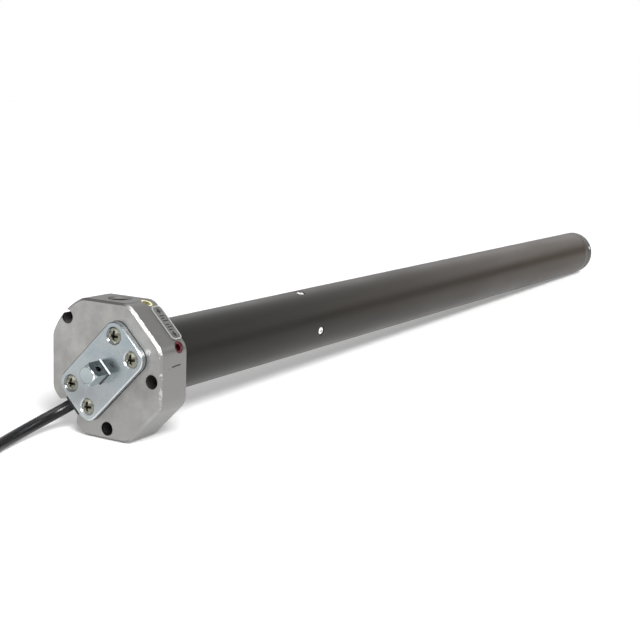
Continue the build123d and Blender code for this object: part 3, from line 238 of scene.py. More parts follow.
def outward(points, quads, triangles):
    """Points, quads and triangles, with faces turned round where their volume is negative.

    The volume is the sum, over the triangles and the two halves of each quad, of a sixth of the
    first corner's dot product with the cross product of the other two.
    """
    corners = points[np.vstack((triangles, quads[:, :3], quads[:, (0, 2, 3)]))]
    volume = np.sum(corners[:, 0] * np.cross(corners[:, 1], corners[:, 2]))
    turned = -1 if volume < 0 else 1
    return points, quads[:, ::turned], triangles[:, ::turned]


def linked(name, data):
    """A new object in the scene."""
    made = bpy.data.objects.new(name, data)
    bpy.context.scene.collection.objects.link(made)
    return made


def dressed(name, data, shade):
    """A piece for a mesh or curve, in its finish, riding on the head's body."""
    data.materials.append(shade.material)
    piece = linked(name, data)
    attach(piece, "head")
    return piece


def mesh_piece(name, shells, shade, smooth=True):
    """One mesh object of closed shells, with its place in its points."""
    firsts = np.cumsum([0] + [len(points) for points, _, _ in shells])
    points = np.vstack([points for points, _, _ in shells])
    quads = np.vstack([quads + first for (_, quads, _), first in zip(shells, firsts)])
    triangles = np.vstack([faces + first for (_, _, faces), first in zip(shells, firsts)])
    corners = np.concatenate((quads.ravel(), triangles.ravel())).astype(np.int32)
    sizes = np.repeat((4, 3), (len(quads), len(triangles)))
    mesh = bpy.data.meshes.new(name)
    mesh.vertices.add(len(points))
    mesh.vertices.foreach_set("co", points.astype(np.float32).ravel())
    mesh.loops.add(len(corners))
    mesh.loops.foreach_set("vertex_index", corners)
    mesh.polygons.add(len(sizes))
    mesh.polygons.foreach_set("loop_start", (np.cumsum(sizes) - sizes).astype(np.int32))
    mesh.polygons.foreach_set("use_smooth", np.full(len(sizes), smooth))
    mesh.update(calc_edges=True)
    return dressed(name, mesh, shade)


def around(radius, angle):
    """Sideways and upward parts of a radius at an angle from straight up towards -Y."""
    return -radius * np.sin(angle), radius * np.cos(angle)


def tube_shell(start, end, steps):
    """The drawn tube: an outer wall with a shallow dish at each rivet, and a plain inner wall.

    The outer wall's radius is the tube's radius less, near a rivet, the dish depth times a
    smooth step that falls from one to zero between the rivet's edge and the dish's edge, along
    the distance over the surface. The ends turn in over a small round lip.
    """
    dish_depth, dish_edge, rivet_edge, lip = 0.0007, 0.0038, 0.0029, 0.0003
    dish_rows, rows_before, rows_after = 37, 24, 60
    reach, gap = 0.0045, 0.002
    near = np.linspace(RIVET_PLACE - reach, RIVET_PLACE + reach, dish_rows)
    places = np.concatenate((np.linspace(start + lip, near[0] - gap, rows_before), near,
                             np.linspace(near[-1] + gap, end - lip, rows_after)))
    angles = full_circle(steps)
    place, angle = np.meshgrid(places, angles, indexing="ij")
    radius = np.full_like(place, TUBE_RADIUS)
    for degrees in RIVET_ANGLES:
        turn = (angle - math.radians(degrees) + math.pi) % (2.0 * math.pi) - math.pi
        away = np.hypot(place - RIVET_PLACE, TUBE_RADIUS * turn)
        share = np.clip((dish_edge - away) / (dish_edge - rivet_edge), 0.0, 1.0)
        radius -= dish_depth * share * share * (3.0 - 2.0 * share)
    inner = TUBE_RADIUS - TUBE_WALL
    profile = np.array(((start, inner + lip), (start, TUBE_RADIUS - lip),
                        (end, TUBE_RADIUS - lip), (end, inner + lip), (end - lip, inner),
                        (start + lip, inner)))
    plain = np.stack((profile[:, :1] + 0.0 * angles, *around(profile[:, 1:], angles)), -1)
    wall = np.stack((place, *around(radius, angle)), -1)
    return loop_shell(np.concatenate((plain[:2], wall, plain[2:])))


def button_shell(profile, degrees, steps):
    """A turned button on the tube, such as a rivet's head or the broken stem in its pit.

    A point at distance r and direction d over the tube's surface stands at the tube's radius plus
    the profile's height at r, turned on by r sin d over the radius and moved by r cos d.
    """
    profile = np.array(profile)
    middle = math.radians(degrees)
    reach, direction = np.meshgrid(profile[:, 0], full_circle(steps), indexing="ij")
    height = np.broadcast_to(profile[:, 1:], reach.shape)
    turn = middle + reach * np.sin(direction) / TUBE_RADIUS
    rings = np.stack((RIVET_PLACE + reach * np.cos(direction),
                      *around(TUBE_RADIUS + height, turn)), -1)
    poles = [np.array((RIVET_PLACE, *around(TUBE_RADIUS + profile[row, 1], middle)))
             for row in (0, -1)]
    return round_shell(rings, *poles)


def on_plate(lift, along, across):
    """Points over the head's front face, from places along and across the slanting plate."""
    along, across = np.broadcast_arrays(along, across)
    lift = np.broadcast_to(lift, along.shape)
    return np.stack((-lift, (-along - across) * DIAGONAL, (along - across) * DIAGONAL), -1)


def screw_shell(along, across, turn):
    """A raised countersunk screw head with a cross recess, on a short cone.

    The head's height at distance r is its edge's height plus the crown times one less the square
    of r over the head's radius. The recess is as deep as the deeper of two arms, and an arm's
    depth falls from its middle line to its sides and from its inner part to its tip.
    """
    crown, depth, arm_reach, arm_half = 0.0013, 0.0026, 0.0032, 0.00085
    side_slope, tip_slope = 0.0004, 0.0014
    innermost, rings, steps = 0.02, 40, 96
    distances = np.linspace(innermost, 1.0, rings) * SCREW_HEAD_RADIUS
    directions = full_circle(steps)
    reach, direction = np.meshgrid(distances, directions, indexing="ij")
    height = SCREW_HEAD_FLOOR + crown * (1.0 - (reach / SCREW_HEAD_RADIUS) ** 2)
    first = np.abs(reach * np.cos(direction - turn))
    second = np.abs(reach * np.sin(direction - turn))
    sink = np.zeros_like(reach)
    for length, width in ((first, second), (second, first)):
        side = np.clip((arm_half - width) / side_slope, 0.0, 1.0)
        tip = np.clip((arm_reach - length) / tip_slope, 0.0, 1.0)
        sink = np.maximum(sink, depth * side * tip)
    cone = np.array(SCREW_CONE)
    reach = np.vstack((reach, cone[:, :1] * SCREW_HEAD_RADIUS + 0.0 * directions))
    height = np.vstack((height - sink, cone[:, 1:] + 0.0 * directions))
    points = on_plate(height, along + reach * np.cos(directions),
                      across + reach * np.sin(directions))
    poles = [on_plate(height[row, 0], along, across) for row in (0, -1)]
    return round_shell(points, *poles)


def rounded_loop(half_length, half_width, corner):
    """Points and outward normals round a rectangle with round corners, in its own plane.

    Each corner is a quarter circle: its centre plus the corner radius times (cos a, sin a).
    """
    steps = 14
    angles = np.linspace(0.0, math.pi / 2, steps)
    normals, centres = [], []
    for quarter, (side, lean) in enumerate(((1, 1), (-1, 1), (-1, -1), (1, -1))):
        turn = angles + quarter * math.pi / 2
        normals.append(np.column_stack((np.cos(turn), np.sin(turn))))
        centre = (side * (half_length - corner), lean * (half_width - corner))
        centres.append(np.tile(centre, (steps, 1)))
    normals = np.vstack(normals)
    return np.vstack(centres) + corner * normals, normals


def bead_shell(half_length, half_width, corner, lift, section):
    """A bead carried round the rounded rectangle; its section is outward and upward offsets."""
    line, normals = rounded_loop(half_length, half_width, corner)
    section = np.asarray(section)
    spots = line[:, None, :] + normals[:, None, :] * section[None, :, :1]
    lifts = lift + section[None, :, 1] + 0.0 * spots[:, :, 0]
    return loop_shell(on_plate(lifts, spots[:, :, 0], spots[:, :, 1]))


def print_shells(outlines, out, face, second):
    """Thin print on a flat face square to a direction, at a distance from the tube axis.

    Each outline, along X and the second direction, is swept from just below the face to as much
    above it.
    """
    out, second = np.array(out), np.array(second)
    shells = []
    for outline in outlines:
        flat = (out * face + outline[:, :1] * np.array((1.0, 0.0, 0.0)) + outline[:, 1:] * second)
        rings = np.stack((flat - out * PRINT_LIFT, flat + out * PRINT_LIFT))
        centre = flat.mean(axis=0)
        shells.append(round_shell(rings, centre - out * PRINT_LIFT, centre + out * PRINT_LIFT))
    return shells


def stroke(start, end, half):
    """Outline of a stroke with round ends: half circles of the same radius about both ends."""
    start, end, steps = np.array(start), np.array(end), 9
    ahead = math.atan2(*(end - start)[::-1])
    turn = np.linspace(-math.pi / 2, math.pi / 2, steps)
    caps = [centre + half * np.column_stack((np.cos(ahead + flip + turn),
                                             np.sin(ahead + flip + turn)))
            for centre, flip in ((end, 0.0), (start, math.pi))]
    return np.vstack(caps)


# Materials


def combined(tree, operation, first, second):
    """Output of a math node whose two values are numbers or other nodes' outputs."""
    node = tree.nodes.new("ShaderNodeMath")
    node.operation = operation
    for value, socket in zip((first, second), node.inputs):
        if isinstance(value, bpy.types.NodeSocket):
            tree.links.new(value, socket)
        else:
            socket.default_value = value
    return node.outputs["Value"]


def spanned(tree, source, low, high, start, end):
    """The source's stretch from start to end mapped to low and high, and held beyond it."""
    node = tree.nodes.new("ShaderNodeMapRange")
    for socket, value in (("From Min", start), ("From Max", end), ("To Min", low),
                          ("To Max", high)):
        node.inputs[socket].default_value = value
    tree.links.new(source, node.inputs["Value"])
    return node.outputs["Result"]


def toned(colour, share):
    """The colour, brighter or darker by a share."""
    return tuple(min(1.0, channel * share) for channel in colour)


class Shade:
    """A node material with a principled shader, and short ways to add procedural detail."""

    def __init__(self, name, colour, metallic=0.0, roughness=0.5, **sockets):
        self.material = bpy.data.materials.new(name)
        self.material.use_nodes = True
        self.tree = self.material.node_tree
        self.shader = self.tree.nodes["Principled BSDF"]
        self.set("Base Color", (*colour, 1.0))
        self.set("Metallic", metallic)
        self.set("Roughness", roughness)
        for socket, value in sockets.items():
            self.set(socket.replace("_", " "), value)
        self.material.diffuse_color = (*colour, 1.0)
        self.coordinates = self.add("ShaderNodeTexCoord").outputs["Object"]
        self.tone = colour

    def set(self, socket, value):
        self.shader.inputs[socket].default_value = value

    def add(self, kind, **values):
        node = self.tree.nodes.new(kind)
        for name, value in values.items():
            setattr(node, name, value)
        return node

    def link(self, source, target):
        self.tree.links.new(source, target)

    # Patterns and masks

    def noise(self, scale, detail=4.0, roughness=0.55, stretch=(1.0, 1.0, 1.0)):
        """Noise of the given scale per metre, drawn out along an axis by a small stretch."""
        mapping = self.add("ShaderNodeMapping")
        mapping.inputs["Scale"].default_value = stretch
        self.link(self.coordinates, mapping.inputs["Vector"])
        node = self.add("ShaderNodeTexNoise")
        for socket, value in (("Scale", scale), ("Detail", detail), ("Roughness", roughness)):
            node.inputs[socket].default_value = value
        self.link(mapping.outputs["Vector"], node.inputs["Vector"])
        return node.outputs["Fac"]

    def bands(self, direction, scale, distortion=0.0):
        """Even bands square to a direction, of the given scale."""
        node = self.add("ShaderNodeTexWave", wave_type="BANDS", bands_direction=direction)
        node.inputs["Scale"].default_value = scale
        node.inputs["Distortion"].default_value = distortion
        self.link(self.coordinates, node.inputs["Vector"])
        return node.outputs["Fac"]

    def spread(self, source, low, high, start=0.3, end=0.7):
        """The source's middle range, or another stretch of it, mapped to low and high."""
        return spanned(self.tree, source, low, high, start, end)

    def rise(self, source, start, end):
        """Zero up to the start of a stretch of the source, and one from its end on."""
        return self.spread(source, 0.0, 1.0, start, end)

    def fall(self, source, start, end):
        """One up to the start of a stretch of the source, and zero from its end on."""
        return self.spread(source, 1.0, 0.0, start, end)

    def split(self, axis):
        """The object's coordinate on one axis."""
        node = self.add("ShaderNodeSeparateXYZ")
        self.link(self.coordinates, node.inputs["Vector"])
        return node.outputs[axis]

    def band(self, axis, low, high):
        """One between two places on an axis of the object, and zero outside them."""
        place = self.split(axis)
        return self.multiply(combined(self.tree, "GREATER_THAN", place, low),
                             combined(self.tree, "LESS_THAN", place, high))

    def vector_math(self, operation, source, other=None):
        """A vector math node on another node's output and, where there is one, a vector."""
        node = self.add("ShaderNodeVectorMath", operation=operation)
        self.link(source, node.inputs[0])
        if other is not None:
            node.inputs[1].default_value = other
        return node

    def height(self, direction):
        """How far along a direction of the object a point lies."""
        return self.vector_math("DOT_PRODUCT", self.coordinates, direction).outputs["Value"]

    def off_axis(self, place, direction):
        """Distance from a line through a place of the object."""
        offset = self.vector_math("SUBTRACT", self.coordinates, place)
        cross = self.vector_math("CROSS_PRODUCT", offset.outputs["Vector"], direction)
        return self.vector_math("LENGTH", cross.outputs["Vector"]).outputs["Value"]

    def multiply(self, first, second):
        return combined(self.tree, "MULTIPLY", first, second)

    # Colour, roughness and relief

    def blend(self, factor, first, second):
        """Colour between two, each a colour or another node's output."""
        node = self.add("ShaderNodeMix", data_type="RGBA")
        self.link(factor, node.inputs["Factor"])
        for value, socket in ((first, node.inputs[6]), (second, node.inputs[7])):
            if isinstance(value, bpy.types.NodeSocket):
                self.link(value, socket)
            else:
                socket.default_value = (*value, 1.0)
        return node.outputs[2]

    def colour(self, source):
        self.tone = source
        self.link(source, self.shader.inputs["Base Color"])

    def over(self, mask, colour):
        """Lays a colour over the present one where the mask is one."""
        self.colour(self.blend(mask, self.tone, colour))

    def mottle(self, pattern, colour, dark, light):
        """Varies a colour between two shares of it over the pattern's middle range."""
        self.colour(self.blend(self.spread(pattern, 0.0, 1.0), toned(colour, dark),
                               toned(colour, light)))

    def rough(self, pattern, low, high, start=0.3, end=0.7):
        self.link(self.spread(pattern, low, high, start, end), self.shader.inputs["Roughness"])

    def bump(self, height, distance):
        node = self.add("ShaderNodeBump")
        node.inputs["Strength"].default_value = 1.0
        node.inputs["Distance"].default_value = distance
        self.link(height, node.inputs["Height"])
        previous = self.shader.inputs["Normal"].links
        if previous:
            self.link(previous[0].from_socket, node.inputs["Normal"])
        self.link(node.outputs["Normal"], self.shader.inputs["Normal"])


def cast_metal(name, colour, roughness):
    """Bare casting: cloudy tone, fine pits and a grainy skin."""
    shade = Shade(name, colour, 1.0, roughness)
    cloud = shade.noise(70.0, 5.0, 0.6)
    grain = shade.noise(1400.0, 3.0)
    shade.mottle(cloud, colour, dark=0.80, light=1.20)
    shade.over(shade.spread(grain, 0.0, 0.45, 0.35, 0.75), toned(colour, 0.78))
    shade.rough(cloud, roughness - 0.07, roughness + 0.08)
    shade.bump(grain, 0.00004)
    shade.bump(shade.noise(420.0, 4.0), 0.0001)
    return shade


def plated(name, colour, roughness):
    """Zinc plate: clouds of blue passivation, and haze."""
    shade = Shade(name, colour, 1.0, roughness)
    cloud = shade.noise(110.0, 3.0)
    haze = shade.noise(240.0, 2.0)
    cool = tuple(channel * share for channel, share in zip(colour, (0.88, 0.97, 1.0)))
    shade.colour(shade.blend(shade.spread(cloud, 0.0, 1.0), cool, toned(colour, 1.1)))
    shade.rough(haze, roughness - 0.02, roughness + 0.04)
    shade.bump(cloud, 0.00001)
    return shade


def machined(name, colour, roughness):
    """Turned steel: rings left by the tool, drawn out round the tube axis."""
    shade = Shade(name, colour, 1.0, roughness)
    marks = shade.noise(2200.0, 2.0, 0.5, (1.0, 0.05, 0.05))
    shade.mottle(marks, colour, dark=0.9, light=1.08)
    shade.rough(marks, roughness - 0.06, roughness + 0.08)
    shade.bump(marks, 0.00001)
    return shade


def moulded(name, colour, roughness, grain=0.00002):
    """Moulded plastic or rubber: a fine spark-eroded skin."""
    shade = Shade(name, colour, 0.0, roughness)
    skin = shade.noise(2600.0, 3.0)
    shade.mottle(shade.noise(60.0, 2.0), colour, dark=0.93, light=1.06)
    shade.rough(skin, roughness - 0.05, roughness + 0.06)
    shade.bump(skin, grain)
    return shade


def painted(name, colour, roughness):
    """Satin paint on a drawn tube: faint orange peel, long soft waves, and a painted reflection
    that makes it lighter and warmer far from the head.
    """
    shade = Shade(name, colour, 0.0, roughness, Specular_IOR_Level=0.2,
                  Specular_Tint=(1.0, 0.96, 0.90, 1.0))
    wave = shade.noise(30.0, 2.0, 0.5, (0.3, 1.0, 1.0))
    shade.mottle(wave, colour, dark=0.9, light=1.1)
    # Painted reflection: lighter and warmer towards the far end
    shade.over(shade.rise(shade.split("X"), *PAINT_CHANGE), FAR_PAINT_REFLECTION)
    shade.rough(wave, roughness - 0.03, roughness + 0.04)
    shade.bump(shade.noise(900.0, 2.0, 0.5, (0.6, 1.0, 1.0)), 0.000008)
    return shade


def laminated(name, colour, roughness):
    """Stacked sheets: dark seams across the tube axis, a millimetre apart."""
    shade = Shade(name, colour, 1.0, roughness)
    seams = shade.bands("X", 310.0, 0.4)
    shade.colour(shade.blend(shade.rise(seams, 0.0, 0.5), toned(colour, 0.55), colour))
    shade.rough(shade.noise(500.0), roughness - 0.05, roughness + 0.1)
    shade.bump(seams, 0.00004)
    return shade


def wound(name, colour, roughness):
    """Enamelled copper: strands drawn out along the tube axis."""
    shade = Shade(name, colour, 0.85, roughness, Coat_Weight=0.4, Coat_Roughness=0.2)
    strands = shade.noise(1500.0, 2.0, 0.5, (0.04, 1.0, 1.0))
    shade.mottle(strands, colour, dark=0.6, light=1.15)
    shade.rough(strands, roughness - 0.05, roughness + 0.1)
    shade.bump(strands, 0.0001)
    return shade


def give(shade, *names):
    """Gives a finish to CAD nodes that keep their own shape."""
    for name in names:
        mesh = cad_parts[name].data
        mesh.materials.clear()
        mesh.materials.append(shade.material)


# What a user may change


class HeadSettings(bpy.types.PropertyGroup):
    """Finishes of the head"""
    casting: FloatVectorProperty(
        name="Casting", description="Colour of the bare head casting",
        default=(0.368, 0.364, 0.354), subtype="COLOR", min=0.0, max=1.0)
    casting_roughness: FloatProperty(
        name="Casting roughness", description="Roughness of the head casting",
        default=0.38, min=0.1, max=0.9, subtype="FACTOR")
    plate: FloatVectorProperty(
        name="Plate", description="Colour of the zinc-plated plate",
        default=(0.345, 0.365, 0.378), subtype="COLOR", min=0.0, max=1.0)
    pin: FloatVectorProperty(
        name="Pin", description="Colour of the zinc-plated square pin",
        default=(0.40, 0.45, 0.46), subtype="COLOR", min=0.0, max=1.0)
    screws: FloatVectorProperty(
        name="Screws", description="Colour of the plate screws",
        default=(0.23, 0.23, 0.19), subtype="COLOR", min=0.0, max=1.0)
    up_mark: FloatVectorProperty(
        name="Up adjuster", description="Colour of the upper limit adjuster's rim",
        default=(0.80, 0.76, 0.50), subtype="COLOR", min=0.0, max=1.0)
    # The socket colour is painted shade in the upper adjuster's recess
    up_socket_shade: FloatVectorProperty(
        name="Up socket", description="Colour of the upper limit adjuster's socket",
        default=(0.20, 0.19, 0.08), subtype="COLOR", min=0.0, max=1.0)
    down_mark: FloatVectorProperty(
        name="Down adjuster", description="Colour of the lower limit adjuster's rim",
        default=(0.085, 0.004, 0.008), subtype="COLOR", min=0.0, max=1.0)
    # The socket colour is painted shade in the lower adjuster's recess
    down_socket_shade: FloatVectorProperty(
        name="Down socket", description="Colour of the lower limit adjuster's socket",
        default=(0.03, 0.001, 0.002), subtype="COLOR", min=0.0, max=1.0)


class TubeSettings(bpy.types.PropertyGroup):
    """Paint and fineness of the motor tube"""
    paint: FloatVectorProperty(
        name="Paint", description="Colour of the tube's paint",
        default=(0.0085, 0.0082, 0.0074), subtype="COLOR", min=0.0, max=1.0)
    paint_roughness: FloatProperty(
        name="Paint roughness", description="Roughness of the tube's paint",
        default=0.36, min=0.1, max=0.9, subtype="FACTOR")
    steps: IntProperty(
        name="Steps round", description="Faces round the tube", default=320, min=48, max=400)


class LeadSettings(bpy.types.PropertyGroup):
    """Sizes and colour of the power lead"""
    radius: FloatProperty(
        name="Radius", description="Radius of the lead's jacket",
        default=0.0035, min=0.002, max=0.006, unit="LENGTH")
    length: FloatProperty(
        name="Length", description="Length of the jacket from the head to its end",
        default=1.78, min=0.5, max=5.0, unit="LENGTH")
    jacket: FloatVectorProperty(
        name="Jacket", description="Colour of the lead's jacket",
        default=(0.007, 0.007, 0.0075), subtype="COLOR", min=0.0, max=1.0)
    core_radius: FloatProperty(
        name="Core radius", description="Radius of each insulated core",
        default=0.00115, min=0.0005, max=0.002, unit="LENGTH")


class StageSettings(bpy.types.PropertyGroup):
    """Floor and lights"""
    floor: FloatVectorProperty(
        name="Floor", description="Colour of the floor",
        default=(0.80, 0.80, 0.80), subtype="COLOR", min=0.0, max=1.0)
    key_strength: FloatProperty(
        name="Key light", description="Strength of the soft light over the camera's shoulder",
        default=4.1, min=0.0, max=20.0)
    front_power: FloatProperty(
        name="Front light", description="Power of the weak light on the head's face",
        default=2.5, min=0.0, max=200.0, unit="POWER")
    sky: FloatProperty(
        name="Sky", description="Strength of the even light from all round",
        default=0.38, min=0.0, max=2.0)


# Pieces


def coil_route():
    """Points of the put-away coil.

    Each half turn is half a circle on its own centre: a point at angle a lies at the centre plus
    radius over cos(half a step) times (sin a, -cos a), so that the spline's corners lie just
    outside the circle and its line on it. The radii shrink by half a pitch at each half turn on
    the floor, one half turn climbs a pitch, and they grow again one layer up.
    """
    radii = COIL_RADIUS - COIL_PITCH / 2 * np.arange(COIL_HALF_TURNS + 1)
    radii = np.concatenate((radii, radii[-2::-1]))
    step = math.pi / POINTS_PER_HALF_TURN
    angles = (np.arange(POINTS_PER_HALF_TURN) + 0.5) * step
    places = []
    edge, side, lift = COIL_START, -1.0, LEAD_ROUTE[-1][2]
    for turn, radius in enumerate(radii):
        climbs = turn == COIL_HALF_TURNS
        centre = edge - side * radius
        climb = COIL_PITCH * angles / math.pi if climbs else 0.0 * angles
        reach = radius / math.cos(step / 2)
        places.append(np.column_stack((COIL_PLACE + side * reach * np.sin(angles),
                                       centre + side * reach * np.cos(angles),
                                       lift + climb)))
        edge, side = edge - side * 2 * radius, -side
        if climbs:
            lift += COIL_PITCH
    return np.vstack(places)


def curve_piece(name, route, radius, shade):
    """A round cord on one smooth spline whose control points are the route's points."""
    curve = bpy.data.curves.new(name, "CURVE")
    curve.dimensions = "3D"
    points = on_floor(route)
    spline = curve.splines.new("NURBS")
    spline.points.add(len(points) - 1)
    spline.points.foreach_set("co", np.column_stack((points, np.ones(len(points)))).ravel())
    spline.order_u = 3
    spline.use_endpoint_u = True
    spline.resolution_u = 6
    curve.bevel_depth = radius
    curve.bevel_resolution = 5
    curve.use_fill_caps = True
    return dressed(name, curve, shade)


class BLINDMOTOR_OT_lead(bpy.types.Operator):
    """Power lead with its put-away coil and four bare cores"""
    bl_idname = "blindmotor.lead"
    bl_label = "Power lead"

    def execute(self, context):
        settings = context.scene.blind_motor_lead
        jacket = Shade("lead_jacket", settings.jacket, 0.0, 0.25, Specular_IOR_Level=0.27)
        jacket.rough(jacket.noise(500.0, 2.0, 0.5), 0.22, 0.28)
        jacket.mottle(jacket.noise(40.0), settings.jacket, dark=0.85, light=1.2)
        lead = curve_piece("power_lead", np.vstack((LEAD_ROUTE, coil_route(), TAIL_ROUTE)),
                           settings.radius, jacket)
        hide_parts("cable_free", "cable_coil", "cable_tail")
        # The coil lies out of view, so the head's face doesn't mirror it either
        lead.visible_glossy = False
        cores = self.cores(settings.core_radius)
        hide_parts("cable_cores")
        return {"FINISHED"}

    def cores(self, radius):
        """The four cores spread from the jacket's end and come to lie level on the floor."""
        fan, hidden = 1.3, 0.002
        to_bend, to_floor, level_run = CORE_RUNS
        end = np.array(TAIL_ROUTE[-1])
        ahead = end - np.array(TAIL_ROUTE[-2])
        ahead[2] = 0.0
        ahead = ahead / np.linalg.norm(ahead)
        across = np.array((-ahead[1], ahead[0], 0.0))
        rise = np.array((0.0, 0.0, 1.0))
        made = []
        for label, colour, side, lift in CORES:
            spread = across * (side * radius * fan)
            start = end + across * (side * radius) + rise * (lift * radius)
            bend = start + ahead * to_bend + spread
            spot = bend + ahead * to_floor + spread * 2
            spot[2] = CORE_REST
            level = spot + ahead * level_run + spread
            shade = moulded(f"core_{label}", colour, 0.3)
            if label == "green_yellow":
                stripe = shade.rise(shade.bands("DIAGONAL", 160.0), 0.55, 0.6)
                shade.colour(shade.blend(stripe, colour, CORE_STRIPE))
            route = np.array((start - ahead * hidden, bend, spot, level))
            made.append(curve_piece(f"core_{label}", route, radius, shade))
        return made


class BLINDMOTOR_OT_inner_parts(bpy.types.Operator):
    """Finishes of the parts inside the tube and the head"""
    bl_idname = "blindmotor.inner_parts"
    bl_label = "Inner parts"

    def execute(self, context):
        planets = [f"planet_{stage}_{place}" for stage in (1, 2, 3) for place in (1, 2, 3)]
        give(machined("turned_steel", (0.52, 0.52, 0.52), 0.32),
             "crank_input", "override_shaft", "limit_spindle_up", "limit_spindle_down",
             "rotor_shaft", "brake_magnet", "brake_disc", "brake_spring", "gear_ring",
             "carrier_1", "carrier_2", "carrier_3", "output_shaft", *planets)
        give(machined("bronze", (0.50, 0.33, 0.16), 0.35),
             "crank_bush", "shaft_bushes", "output_bushes")
        give(cast_metal("inner_casting", (0.55, 0.55, 0.55), 0.45),
             "rear_shield", "front_shield", "brake_plate", "output_housing")
        give(laminated("laminations", (0.30, 0.30, 0.32), 0.45), "stator_core", "rotor_core")
        give(wound("copper_wire", (0.62, 0.25, 0.10), 0.35), "stator_windings", "brake_coil")
        give(moulded("white_plastic", (0.72, 0.72, 0.68), 0.5), "limit_nut_up", "limit_nut_down")
        give(moulded("switch_plastic", (0.05, 0.05, 0.06), 0.5), "limit_carrier", "limit_switches")
        give(moulded("capacitor_case", (0.70, 0.70, 0.66), 0.3), "capacitor")
        give(moulded("brake_mix", (0.10, 0.075, 0.055), 0.8, grain=0.0001), "brake_lining")
        give(moulded("black_steel", (0.04, 0.04, 0.04), 0.3), "head_screws")
        give(machined("set_screw_zinc", (0.6, 0.6, 0.6), 0.35), "gearbox_set_screws")
        give(moulded("grommet", (0.018, 0.018, 0.018), 0.6), "cable_grommet")
        give(machined("tinned", (0.62, 0.62, 0.62), 0.3), "core_ferrules")
        return {"FINISHED"}


